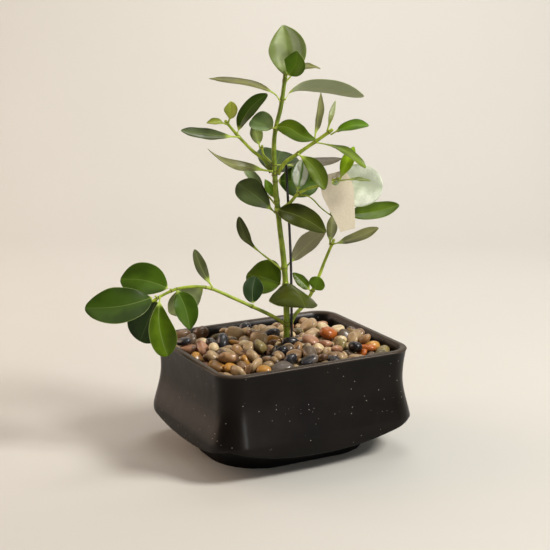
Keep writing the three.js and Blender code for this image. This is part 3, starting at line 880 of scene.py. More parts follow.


# Each leaf's tones carry painted light and shade along with its own colour.
LEAVES: dict[str, LeafLook] = {
    "leaf_top_large": LeafLook(LeafTone.REED, wax_and_glints=0.3),
    "leaf_top_front": LeafLook(LeafTone.GRASS),
    "leaf_top_narrow": LeafLook(LeafTone.BRACKEN),
    "leaf_crown_left": LeafLook(LeafTone.BRACKEN, LeafTone.TAUPE),
    "leaf_crown_right": LeafLook(LeafTone.REED, LeafTone.LICHEN),
    "leaf_upper_front": LeafLook(LeafTone.MOSS),
    "leaf_upper_back": LeafLook(LeafTone.WILLOW),
    "leaf_young": LeafLook(LeafTone.SAGE),
    "leaf_left_tip_upper": LeafLook(LeafTone.LIME),
    "leaf_left_tip_outer": LeafLook(LeafTone.LIME),
    "leaf_left_dark": LeafLook(LeafTone.FOREST),
    "leaf_left_outer": LeafLook(LeafTone.LODEN, wax_and_glints=0.14),
    "leaf_mid_twisted": LeafLook(LeafTone.KHAKI, LeafTone.TAUPE),
    "leaf_mid_back": LeafLook(LeafTone.FOREST, LeafTone.FERN),
    "leaf_mid_back_right": LeafLook(LeafTone.FERN),
    "leaf_mid_far_right": LeafLook(LeafTone.UMBER, LeafTone.UMBER),
    "leaf_right_hanging": LeafLook(LeafTone.PEAR, LeafTone.TAUPE),
    "leaf_right_upright": LeafLook(LeafTone.KHAKI, LeafTone.TAUPE),
    "leaf_right_arching": LeafLook(LeafTone.PEAR, LeafTone.TAUPE),
    "leaf_right_tip": LeafLook(LeafTone.GRASS),
    "leaf_right_small": LeafLook(LeafTone.MIST, wax_and_glints=0.2),
    "leaf_twig_glossy": LeafLook(LeafTone.CLOVER, wax_and_glints=0.79),
    "leaf_tag_upright": LeafLook(LeafTone.APPLE),
    "leaf_tag_side": LeafLook(LeafTone.SAGE),
    "leaf_tag_round": LeafLook(LeafTone.WILLOW, wax_and_glints=0.92),
    "leaf_tag_lower": LeafLook(LeafTone.MOSS),
    "leaf_left_broad": LeafLook(LeafTone.LODEN),
    "leaf_left_small": LeafLook(LeafTone.CELADON, LeafTone.TAUPE),
    "leaf_left_wedge": LeafLook(LeafTone.MEADOW),
    "leaf_right_broad": LeafLook(LeafTone.BRONZE, LeafTone.TAUPE),
    "leaf_spoon": LeafLook(LeafTone.IVY),
    "leaf_right_underside": LeafLook(LeafTone.TAUPE, LeafTone.TAUPE),
    "leaf_low_left_broad": LeafLook(LeafTone.MOSS),
    "leaf_low_front": LeafLook(LeafTone.BRONZE),
    "leaf_low_right_round": LeafLook(LeafTone.MEADOW),
    "leaf_low_right_narrow": LeafLook(LeafTone.MOSS, LeafTone.TAUPE),
    "leaf_low_right_tip": LeafLook(LeafTone.KHAKI, LeafTone.TAUPE),
    "leaf_low_right_back": LeafLook(LeafTone.KHAKI, LeafTone.TAUPE),
    "leaf_low_slate": LeafLook(LeafTone.SPRUCE),
    "leaf_low_upright": LeafLook(LeafTone.IVY, LeafTone.TAUPE),
    "leaf_low_blue": LeafLook(LeafTone.CELADON),
    "leaf_low_bright": LeafLook(LeafTone.FERN),
    "leaf_low_back": LeafLook(LeafTone.FERN),
    "leaf_low_outer": LeafLook(LeafTone.FOREST),
    "leaf_low_dark": LeafLook(LeafTone.SPRUCE),
    "leaf_low_hanging": LeafLook(LeafTone.MOSS),
}


# ------------------------------------------------------------------ planter


@dataclass
class Planter:
    """A low waisted planter: a round-cornered rectangle at the rim, a flared lip and a small oval foot."""

    rim_corner: float = 28 * MM
    rim_thickness: float = 8.5 * MM
    rim_round: float = 2.6 * MM
    waist_height: float = 88 * MM
    waist_inset: float = 4.2 * MM
    flare_outset: float = 5.2 * MM
    flare_height: float = 42 * MM
    lip_corner: float = 44 * MM
    lip_long: float = 22 * MM
    lip_short: float = 27 * MM
    lip_power: float = 2.3
    foot: tuple[float, float, float] = (189 * MM, 138 * MM, 58 * MM)
    floor: tuple[float, float, float, float] = (150 * MM, 100 * MM, 49 * MM, 11 * MM)
    lip_ease: float = 0.3
    corner_steps: int = 18
    side_steps: int = 26
    under_rings: int = 26
    wall_rings: int = 44
    rim_steps: int = 6
    cavity_rings: int = 30

    def __post_init__(self) -> None:
        """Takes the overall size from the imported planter."""
        low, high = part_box("planter")
        self.height = high.z
        self.length = high.x - low.x - 2 * self.flare_outset
        self.width = high.y - low.y - 2 * self.flare_outset

    def outline(self, length: float, width: float, corner: float) -> Array:
        """Places points round a rectangle with round corners.

        Args:
            length: Its size along X.
            width: Its size along Y.
            corner: The corners' radius.

        Returns:
            Points as (place round it, xy), the same number for every size.
        """
        half_x, half_y = length / 2 - corner, width / 2 - corner
        centres = [(half_x, half_y), (-half_x, half_y), (-half_x, -half_y), (half_x, -half_y)]
        points: list[Array] = []
        for quarter, (x, y) in enumerate(centres):
            turn = np.radians(90 * (quarter + np.linspace(0, 1, self.corner_steps)))
            arc = np.stack([x + corner * np.cos(turn), y + corner * np.sin(turn)], axis=1)
            after = np.array(centres[(quarter + 1) % 4])
            away = math.radians(90 * (quarter + 1))
            goal = after + corner * np.array([math.cos(away), math.sin(away)])
            share = (np.arange(1, self.side_steps) / self.side_steps)[:, None]
            points += [arc, blend(arc[-1], goal, share)]
        return np.concatenate(points)

    def level(self, length: float, width: float, corner: float, height: float) -> Array:
        """A flat ring of that outline at a height."""
        flat = self.outline(length, width, corner)
        return np.column_stack([flat, np.full(len(flat), height)])

    def outset(self, height: Array | float) -> Array:
        """Gives the wall's profile: in at the waist, out at the flare.

        Args:
            height: One height or many.

        Returns:
            How far the wall stands out from the rim line there.
        """
        z = np.asarray(height, float)
        rise = np.clip((z - self.waist_height) / (self.height - self.waist_height), 0, 1)
        upper = -self.waist_inset * np.cos(rise * np.pi / 2) ** 0.8
        span = self.waist_height - self.flare_height
        drop = np.clip((self.waist_height - z) / span, 0, 1)
        lower = blend(-self.waist_inset, self.flare_outset, drop * drop * (1.9 - 0.9 * drop))
        return np.where(z > self.waist_height, upper, lower)

    def wall(self, share: float) -> Array:
        """Makes one ring of the outer wall.

        Args:
            share: The way from the arched lip (0) up to the rim (1).

        Returns:
            The ring's points.
        """
        out = self.flare_outset
        flare = self.outline(self.length + 2 * out, self.width + 2 * out, self.rim_corner + out)
        across = np.abs(flare[:, 0]) / (self.length / 2 + out)
        along = np.abs(flare[:, 1]) / (self.width / 2 + out)
        short_face = across**4 / (across**4 + along**4)
        middle = blend(self.lip_long, self.lip_short, short_face)
        reach = np.minimum(np.minimum(across, along), 1)
        lip = blend(middle, self.lip_corner, reach**self.lip_power)
        height = blend(lip, self.height - self.rim_round, share)
        spots = [
            self.outline(self.length + 2 * o, self.width + 2 * o, self.rim_corner + o)[i]
            for i, o in enumerate(self.outset(height))
        ]
        return np.column_stack([np.array(spots), height])

    def under(self, share: float, lip: Array, foot: Array) -> Array:
        """Makes one ring of the bowl under the lip.

        Args:
            share: The way from the lip (0) in to the foot (1).
            lip: The lip's ring.
            foot: The foot's ring.

        Returns:
            The ring's points.
        """
        ring = blend(lip, foot, share**0.9)
        ring[:, 2] = lip[:, 2] * (1 - share) ** 0.75
        return ring

    def cavity(self, share: float) -> Array:
        """Makes one ring of the cavity.

        Args:
            share: The way from just under the rim (0) down to the floor (1).

        Returns:
            The ring's points.
        """
        floor_length, floor_width, floor_corner, floor_height = self.floor
        drop = math.sin(share * math.pi / 2)
        draw = (1 - math.cos(share * math.pi / 2)) ** 1.15
        height = blend(self.height - self.rim_round, floor_height, drop)
        inset = self.rim_thickness - float(self.outset(height))
        return self.level(
            blend(self.length - 2 * inset, floor_length, draw),
            blend(self.width - 2 * inset, floor_width, draw),
            blend(self.rim_corner - self.rim_thickness, floor_corner, draw),
            height,
        )

    def rim(self) -> list[Array]:
        """Makes the rounded rim.

        Returns:
            Its rings, from the outer edge over to the inner one.
        """
        rings = []
        round_steps = np.linspace(0, np.pi / 2, self.rim_steps)
        for turn in round_steps[1:]:
            inset = self.rim_round * (1 - math.cos(turn))
            rings.append(self._rim_ring(inset, self.height - self.rim_round * (1 - math.sin(turn))))
        for turn in round_steps[::-1][:-1]:
            inset = self.rim_thickness - self.rim_round * (1 - math.cos(turn))
            rings.append(self._rim_ring(inset, self.height - self.rim_round * (1 - math.sin(turn))))
        return rings

    def _rim_ring(self, inset: float, height: float) -> Array:
        """A flat ring set in from the rim line."""
        length, width = self.length - 2 * inset, self.width - 2 * inset
        return self.level(length, width, self.rim_corner - inset, height)

    def build(self) -> bpy.types.Object:
        """Makes the planter, its lip a little eased and all below the lip marked for painted shade and a
        matt finish.

        Returns:
            The piece.
        """
        lip, foot = self.wall(0), self.level(*self.foot, 0)
        under = [self.under(s, lip, foot) for s in np.linspace(1, 0.02, self.under_rings)]
        wall = [self.wall(s) for s in np.linspace(0, 1, self.wall_rings)]
        outside = np.array(under + wall)
        crease = len(under)
        beside = (outside[crease - 1] + outside[crease + 1]) / 2
        outside[crease] = blend(outside[crease], beside, self.lip_ease)
        cavity = [self.cavity(s) for s in np.linspace(0, 1, self.cavity_rings)]
        rings = np.array([*outside, *self.rim(), *cavity])
        shaded_underside = np.zeros(rings.shape[:2])
        # Everything under the lip is marked for painted shade and a matt finish.
        shaded_underside[: crease - 1] = 1.0
        draft = Draft()
        draft.add_loft(rings, {"shaded_underside": shaded_underside})
        piece = draft.build("planter_ceramic", CeramicFinish(self.height).material())
        return place_piece(piece, "ceramic", "planter")


# ------------------------------------------------------------------ pebbles


class PebbleTone(Enum):
    """The stones' colours as (main tone, second tone, how common)."""

    BEIGE = (0xA98F6A, 0x7C6043, 26)
    TAN = (0x9C7850, 0x5E4430, 20)
    CREAM = (0xD2BC92, 0xA6895F, 20)
    PINK = (0xA97D60, 0x7E523A, 10)
    BROWN = (0x5F5040, 0x957C58, 12)
    OLIVE = (0x5E5436, 0x857648, 7)
    SLATE = (0x2C2B2F, 0x5E554E, 7)
    BLACK = (0x141317, 0x403630, 10)
    ORANGE = (0xA85A22, 0xC49048, 4)
    OCHRE = (0xB48238, 0x74542E, 7)


@dataclass
class Pebble:
    """One stone: its half sizes, its seed and its place and turn."""

    half: Vector
    seed: int
    matrix: Matrix


@dataclass
class PebbleBed:
    """River pebbles dropped into the planter's mouth, so that they lie on each other as real ones do.

    Half lengths, margin, layers and scatter are in millimetres. The fall runs at many times the
    stones' size, because the solver is steadier there.
    """

    planter: Planter
    seed: int = 11
    large: int = 84
    large_half: tuple[float, float] = (11.0, 13.4)
    small: int = 240
    small_half: tuple[float, float] = (6.8, 12.0)
    columns: int = 8
    rows: int = 6
    margin: float = 34
    first_layer: float = 14
    layer_gap: float = 21
    scatter: float = 3
    facets: int = 7
    plain_share: float = 0.35
    settle_frames: int = 70
    scale: float = 100.0
    gravity: float = -60.0

    def __post_init__(self) -> None:
        """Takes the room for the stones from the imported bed."""
        self.low, self.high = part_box("pebble_bed")
        self.draw = random.Random(self.seed)

    def stones(self) -> list[Pebble]:
        """Draws the stones' sizes and hangs them in loose layers over the planter.

        Returns:
            The stones, lowest first.
        """
        stones: list[Pebble] = []
        kinds = [self.large_half] * self.large + [self.small_half] * self.small
        span_x = self.high.x - self.low.x - self.margin * MM
        span_y = self.high.y - self.low.y - self.margin * MM
        for number, (least, most) in enumerate(kinds):
            layer, spot = divmod(number, self.columns * self.rows)
            row, column = divmod(spot, self.columns)
            long = self.draw.uniform(least, most) * MM
            wide = long * self.draw.uniform(0.64, 0.9)
            tall = wide * self.draw.uniform(0.55, 0.8)
            x = (column + 0.5) / self.columns * span_x - span_x / 2 + self._scattered()
            y = (row + 0.5) / self.rows * span_y - span_y / 2 + self._scattered()
            z = self.low.z + (self.first_layer + self.layer_gap * layer) * MM
            tilts = [self.draw.uniform(-0.5, 0.5) for _ in range(2)]
            turn = Euler((*tilts, self.draw.uniform(0, math.pi)))
            matrix = Matrix.Translation(Vector((x, y, z))) @ turn.to_matrix().to_4x4()
            stones.append(Pebble(Vector((long, wide, tall)), number, matrix))
        return stones

    def _scattered(self) -> float:
        """A small shift to one side or the other."""
        return self.draw.uniform(-self.scatter, self.scatter) * MM

    def settle(self, stones: list[Pebble]) -> None:
        """Lets the stones fall and come to rest.

        Args:
            stones: The stones, whose matrices are changed to where they lie.
        """
        scene = bpy.context.scene
        bpy.ops.rigidbody.world_add()
        world = scene.rigidbody_world
        world.collection = bpy.data.collections.new("falling")
        scene.collection.children.link(world.collection)
        world.substeps_per_frame = 8
        world.solver_iterations = 12
        world.point_cache.frame_start, world.point_cache.frame_end = 1, self.settle_frames
        scene.frame_start, scene.frame_end = 1, self.settle_frames
        gravity = scene.gravity.copy()
        scene.gravity = (0, 0, self.gravity)
        bodies = [self._ball(stone) for stone in stones]
        walls = self._walls()
        manner = {
            "collision_shape": "CONVEX_HULL",
            "friction": 0.55,
            "restitution": 0.0,
            "use_margin": True,
            "collision_margin": 0.01,
            "linear_damping": 0.12,
            "angular_damping": 0.25,
        }
        for body, kind in [(b, "ACTIVE") for b in bodies] + [(w, "PASSIVE") for w in walls]:
            world.collection.objects.link(body)
            body.rigid_body.type = kind
            for name, value in manner.items():
                setattr(body.rigid_body, name, value)
        for step in range(1, self.settle_frames + 1):
            scene.frame_set(step)
        graph = bpy.context.evaluated_depsgraph_get()
        for stone, body in zip(stones, bodies):
            found = body.evaluated_get(graph).matrix_world
            turn = found.to_quaternion().to_matrix().to_4x4()
            stone.matrix = Matrix.Translation(found.translation / self.scale) @ turn
        bpy.ops.rigidbody.world_remove()
        for body in bodies + walls:
            mesh = body.data
            bpy.data.objects.remove(body)
            bpy.data.meshes.remove(mesh)
        scene.gravity = gravity
        scene.frame_set(1)

    def _hull(self, name: str, points: Array) -> bpy.types.Object:
        """Makes a convex body for the fall.

        Args:
            name: The body's name.
            points: Points at real size that it wraps.

        Returns:
            The body, at the size of the fall.
        """
        mesh = bpy.data.meshes.new(name)
        bm = bmesh.new()
        for point in points * self.scale:
            bm.verts.new(point)
        bmesh.ops.convex_hull(bm, input=bm.verts)
        bm.to_mesh(mesh)
        bm.free()
        return bpy.data.objects.new(name, mesh)

    def _ball(self, stone: Pebble) -> bpy.types.Object:
        """Makes a coarse copy of a stone for the fall.

        Args:
            stone: The stone.

        Returns:
            The body, where the stone hangs.
        """
        coarse = 3
        body = self._hull(f"falling_{stone.seed}", self._skin(stone, coarse).reshape(-1, 3))
        place = stone.matrix.copy()
        place.translation *= self.scale
        body.matrix_world = place
        return body

    def _walls(self) -> list[bpy.types.Object]:
        """Makes what the stones fall against.

        Returns:
            The planter's inner walls, the soil, the stem and the stake, as convex bodies.
        """
        inner = self.planter.cavity(0.12)[:, :2]
        top, deep, outward = 0.3, 0.02, 1.25
        soil = self.low.z - 0.3 * MM
        panels = 28
        picks = [i * len(inner) // panels for i in range(panels)] + [0]
        walls = []
        for a, b in zip(picks[:-1], picks[1:]):
            face = [(xy, z) for z in (soil - deep, top) for xy in (inner[a], inner[b])]
            box = [(*xy, z) for xy, z in face] + [(*(xy * outward), z) for xy, z in face]
            walls.append(self._hull(f"wall_{a}", np.array(box)))
        reach = 0.2
        slab = [(x, y, z) for x in (-reach, reach) for y in (-reach, reach) for z in (soil - deep, soil)]
        walls.append(self._hull("soil_top", np.array(slab)))
        for node, radius in (("main_stem", 4.6 * MM), ("support_stake", 1.8 * MM)):
            middle = Rod.of(node).at_height(self.high.z)[:2]
            turn = np.linspace(0, math.tau, 12, endpoint=False)
            ring = middle + radius * np.stack([np.cos(turn), np.sin(turn)], axis=1)
            post = [(*xy, z) for xy in ring for z in (soil - deep, top)]
            walls.append(self._hull(f"post_{node}", np.array(post)))
        return walls

    def _skin(self, stone: Pebble, facets: int) -> Array:
        """A stone's points on its six sides, rounded and a little uneven.

        Args:
            stone: The stone.
            facets: Faces along one side of its six.

        Returns:
            Points as (side, row, column, xyz) about its centre.
        """
        line = np.tan(np.linspace(-np.pi / 4, np.pi / 4, facets + 1))
        u, v = np.meshgrid(line, line, indexing="ij")
        one = np.ones_like(u)
        sides = [(one, u, v), (-one, v, u), (v, one, u), (u, -one, v), (u, v, one), (v, u, -one)]
        ball = unit(np.stack([np.stack(s, axis=-1) for s in sides]))
        draw = random.Random(stone.seed * 7 + 3)
        uneven = np.zeros(ball.shape[:-1])
        for _ in range(4):
            way = np.array([draw.gauss(0, 1) for _ in range(3)])
            way = way / np.linalg.norm(way)
            uneven += draw.uniform(0.02, 0.055) * np.sin(
                (ball @ way) * draw.uniform(1.6, 3.2) + draw.uniform(0, math.tau)
            )
        square = draw.uniform(2.0, 2.7)
        power = (np.abs(ball) ** square).sum(axis=-1) ** (-1 / square)
        return ball * (power * (1 + uneven))[..., None] * np.array(stone.half)

    def build(self) -> bpy.types.Object:
        """Makes the bed as one piece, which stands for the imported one.

        Returns:
            The piece.
        """
        stones = self.stones()
        self.settle(stones)
        draft = Draft()
        top = self.planter.height + 2 * MM
        kept = [stone for stone in stones if stone.matrix.translation.z <= top]
        for stone in kept:
            self._add_stone(draft, stone)
        LOG.info("pebbles kept: %d of %d", len(kept), len(stones))
        piece = draft.build("river_pebbles", PebbleFinish().material(), weld=True)
        return place_piece(piece, "river_stone", "pebble_bed")

    def _add_stone(self, draft: Draft, stone: Pebble) -> None:
        """Adds a stone's six sides to the bed's mesh, with its own tones and bands.

        Args:
            draft: The bed's mesh.
            stone: The stone, where it lies.
        """
        draw = random.Random(stone.seed * 13 + 5)
        tones = list(PebbleTone)
        main, other, _ = draw.choices(tones, [tone.value[2] for tone in tones])[0].value
        ball = self._skin(stone, self.facets)
        way = np.array([draw.gauss(0, 1) for _ in range(3)])
        band = (ball @ (way / np.linalg.norm(way))) / float(stone.half.x)
        band = 0.5 + 0.5 * np.sin(band * draw.uniform(1.0, 5.0) + draw.uniform(0, math.tau))
        if draw.random() < self.plain_share:
            band = band * 0.2
        turn = np.array(stone.matrix)
        points = ball @ turn[:3, :3].T + turn[:3, 3]
        seed = draw.random() * 9
        rows, columns = points.shape[1:3]
        total = rows * columns
        for side, shares in zip(points, band):
            values = {
                "pebble_tone": np.tile(hexed(main), (total, 1)),
                "pebble_other": np.tile(hexed(other), (total, 1)),
                "pebble_band": shares.reshape(-1),
                "pebble_seed": np.full(total, seed),
            }
            draft.faces += grid_faces(rows, columns, draft.add_points(side, values))


@dataclass
class Soil:
    """The soil under the pebbles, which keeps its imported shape."""

    node: str = "potting_soil"

    def build(self) -> bpy.types.Object:
        """Gives the packed soil its finish.

        Returns:
            The soil.
        """
        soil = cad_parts[self.node]
        soil.data.materials.clear()
        soil.data.materials.append(SoilFinish().material())
        LOG.info("%s: kept as packed", soil.name)
        return soil


# ------------------------------------------------------------------ stems


@dataclass
class Rod:
    """A round rod that follows a packed one: its middle line and its radius."""

    line: Array
    radius: Array

    @classmethod
    def of(cls, node: str) -> "Rod":
        """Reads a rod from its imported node.

        Args:
            node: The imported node's name.

        Returns:
            The rod, thick end first, or low end first where both are alike.
        """
        rings = CadLoft.of(node).rings
        line = np.array([ring.mean(axis=0) for ring in rings])
        radius = np.array([np.linalg.norm(r - c, axis=1).mean() for r, c in zip(rings, line)])
        growth, alike = radius[-1] - radius[0], 0.05 * MM
        if growth > alike or (abs(growth) <= alike and line[-1, 2] < line[0, 2]):
            line, radius = line[::-1], radius[::-1]
        return cls(line, radius)

    def lengths(self) -> Array:
        """The way along the middle line at each ring."""
        steps = np.linalg.norm(np.diff(self.line, axis=0), axis=1)
        return np.concatenate([[0], np.cumsum(steps)])

    def readings(self, count: int) -> tuple[Array, Array]:
        """Evenly spaced lengths along the rod, and the middle line's points there."""
        where = np.linspace(0, self.lengths()[-1], count)
        return where, curve_through(self.lengths(), self.line, where)

    def at_height(self, height: float) -> Array:
        """The point of the middle line that is nearest to a height."""
        points = self.readings(400)[1]
        return points[np.argmin(np.abs(points[:, 2] - height))]

    def nearest(self, point: Array) -> tuple[float, float]:
        """Finds where the rod passes a point.

        Args:
            point: The point.

        Returns:
            How far along the rod that is, and how far the point is from the middle line.
        """
        where, points = self.readings(600)
        away = np.linalg.norm(points - point, axis=1)
        best = int(np.argmin(away))
        return float(where[best]), float(away[best])


@dataclass
class Stem:
    """A stem or branch with swollen, scarred joints where leaves and side shoots leave it."""

    node: str
    material: bpy.types.Material
    slot: str = "green_stem"
    sides: int = 20
    step: float = 1.3 * MM
    reach_in: float = 2.2 * MM
    swelling: float = 0.2
    swollen: float = 2.6 * MM
    scarred: float = 1.0 * MM
    age: float = 0.0
    base_age: float = 0.85

    def build(self, starts: Mapping[str, Array]) -> bpy.types.Object:
        """Makes the stem.

        Args:
            starts: Where every leaf and shoot begins, by node name.

        Returns:
            The piece.
        """
        rod = Rod.of(self.node)
        where, line = rod.readings(max(12, int(rod.lengths()[-1] / self.step)))
        radius = curve_through(rod.lengths(), rod.radius, where)
        joints = self._joints(rod, starts)
        waves = np.sin(where / (9 * MM)) * 0.025 + np.sin(where / (3.7 * MM) + 1) * 0.012
        swell = self._near(joints, where, self.swollen)
        radius = radius * (1 + self.swelling * swell + waves)
        line, radius, scar = self._ends(line, radius, self._near(joints, where, self.scarred))
        low = smoothstep(0.3, 0.0, np.linspace(0, 1, len(line)))
        age = blend(self.age, self.base_age, low)
        rings = self._rings(line, radius)
        draft = Draft()
        wide = np.ones((1, self.sides))
        draft.add_loft(rings, {"scar": scar[:, None] * wide, "age": age[:, None] * wide})
        piece = draft.build(f"{self.node}_grown", self.material)
        return place_piece(piece, self.slot, self.node)

    @staticmethod
    def _near(joints: list[float], where: Array, width: float) -> Array:
        """Marks the stretches beside the joints.

        Args:
            joints: The joints' places along the rod.
            where: The places to mark.
            width: How far a joint's mark reaches.

        Returns:
            1 at a joint, falling to 0 away from it.
        """
        marks = sum((np.exp(-(((where - j) / width) ** 2)) for j in joints), np.zeros(len(where)))
        return np.minimum(marks, 1)

    def _joints(self, rod: Rod, starts: Mapping[str, Array]) -> list[float]:
        """Finds where something grows out of the rod.

        Args:
            rod: The rod.
            starts: Where every leaf and shoot begins, by node name.

        Returns:
            Places along the rod, those that nearly meet taken as one.
        """
        found = []
        clearance, least_gap = 3.5 * MM, 3 * MM
        for name, start in starts.items():
            if name == self.node:
                continue
            along, away = rod.nearest(start)
            if away < rod.radius.max() + clearance:
                found.append(along)
        merged: list[float] = []
        for along in sorted(found):
            if not merged or along - merged[-1] > least_gap:
                merged.append(along)
        return merged

    def _ends(self, line: Array, radius: Array, scar: Array) -> tuple[Array, Array, Array]:
        """Runs the thick end a little into what it grows from, and rounds off the thin end.

        Args:
            line: The middle line's points.
            radius: The radius at each.
            scar: How scarred the bark is at each.

        Returns:
            The three, with the new points at both ends.
        """
        foot = [(1.0, 0.9), (0.55, 1.15), (0.25, 1.12)]
        dome = [(0.3, 0.96), (0.6, 0.8), (0.85, 0.52), (0.97, 0.22)]
        first, last = unit(line[0] - line[1]), unit(line[-1] - line[-2])
        inward = [line[0] + first * self.reach_in * back for back, _ in foot]
        outward = [line[-1] + last * radius[-1] * rise for rise, _ in dome]
        start, end = [radius[0] * wide for _, wide in foot], [radius[-1] * wide for _, wide in dome]
        return (
            np.concatenate([inward, line, outward]),
            np.concatenate([start, radius, end]),
            np.concatenate([np.full(len(foot), scar[0]), scar, np.full(len(dome), scar[-1])]),
        )

    def _rings(self, line: Array, radius: Array) -> Array:
        """Makes rings that follow a line without a twist.

        Args:
            line: The middle line's points.
            radius: The radius at each.

        Returns:
            Points as (ring, place round it, xyz).
        """
        heading = unit(np.gradient(line, axis=0))
        start = np.cross(heading[0], [0.37, 0.61, 0.7])
        side = unit(start)
        turn = np.linspace(0, math.tau, self.sides, endpoint=False)
        rings = []
        for point, forward, r in zip(line, heading, radius):
            side = unit(side - forward * (side @ forward))
            other = np.cross(forward, side)
            rings.append(
                point + r * (np.cos(turn)[:, None] * side + np.sin(turn)[:, None] * other)
            )
        return np.array(rings)


# ------------------------------------------------------------------ leaves


@dataclass
class BladeLine:
    """A leaf's packed sections: its middle, its two edges and its upward side at each station."""

    middle: Array
    across: Array
    lift: Array
    upward: Array
    thickness: Array
    tip: Array

    @classmethod
    def of(cls, node: str) -> "BladeLine":
        """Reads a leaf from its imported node.

        Args:
            node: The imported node's name.

        Returns:
            The sections, stalk first.
        """
        loft = CadLoft.of(node)
        off_plane = [
            np.linalg.norm(end - ring.mean(axis=0))
            for end, ring in zip(loft.ends, (loft.rings[0], loft.rings[-1]))
        ]
        if off_plane[0] > off_plane[1]:
            loft = loft.turned()
        middle, across, lift, upward, thickness = [], [], [], [], []
        for ring in loft.rings:
            left, right, top, bottom = cls._section(ring)
            centre = (top + bottom) / 2
            half = (right - left) / 2
            if across and half @ across[-1] < 0:
                half = -half
            middle.append(centre)
            across.append(half)
            lift.append((left + right) / 2 - centre)
            upward.append(unit(top - bottom))
            thickness.append(np.linalg.norm(top - bottom))
        packed = [np.array(values) for values in (middle, across, lift, upward, thickness)]
        return cls(*packed, tip=loft.ends[1])

    @staticmethod
    def _section(ring: Array) -> tuple[Array, Array, Array, Array]:
        """Finds the edges, the top and the bottom of one eight-sided section.

        Its upper points stand half way out to the edge and its lower ones further.

        Args:
            ring: The section's points in order.

        Returns:
            Its two edges, its top and its bottom.
        """
        away = np.linalg.norm(ring[:, None] - ring[None], axis=-1)
        a, b = np.unravel_index(np.argmax(away), away.shape)
        count = len(ring)
        one = [(a + k) % count for k in range(1, (b - a) % count)]
        two = [(b + k) % count for k in range(1, (a - b) % count)]
        spread_one = np.linalg.norm(ring[one[0]] - ring[one[-1]])
        spread_two = np.linalg.norm(ring[two[0]] - ring[two[-1]])
        upper, lower = (one, two) if spread_one < spread_two else (two, one)
        return ring[a], ring[b], ring[upper[1]], ring[lower[1]]


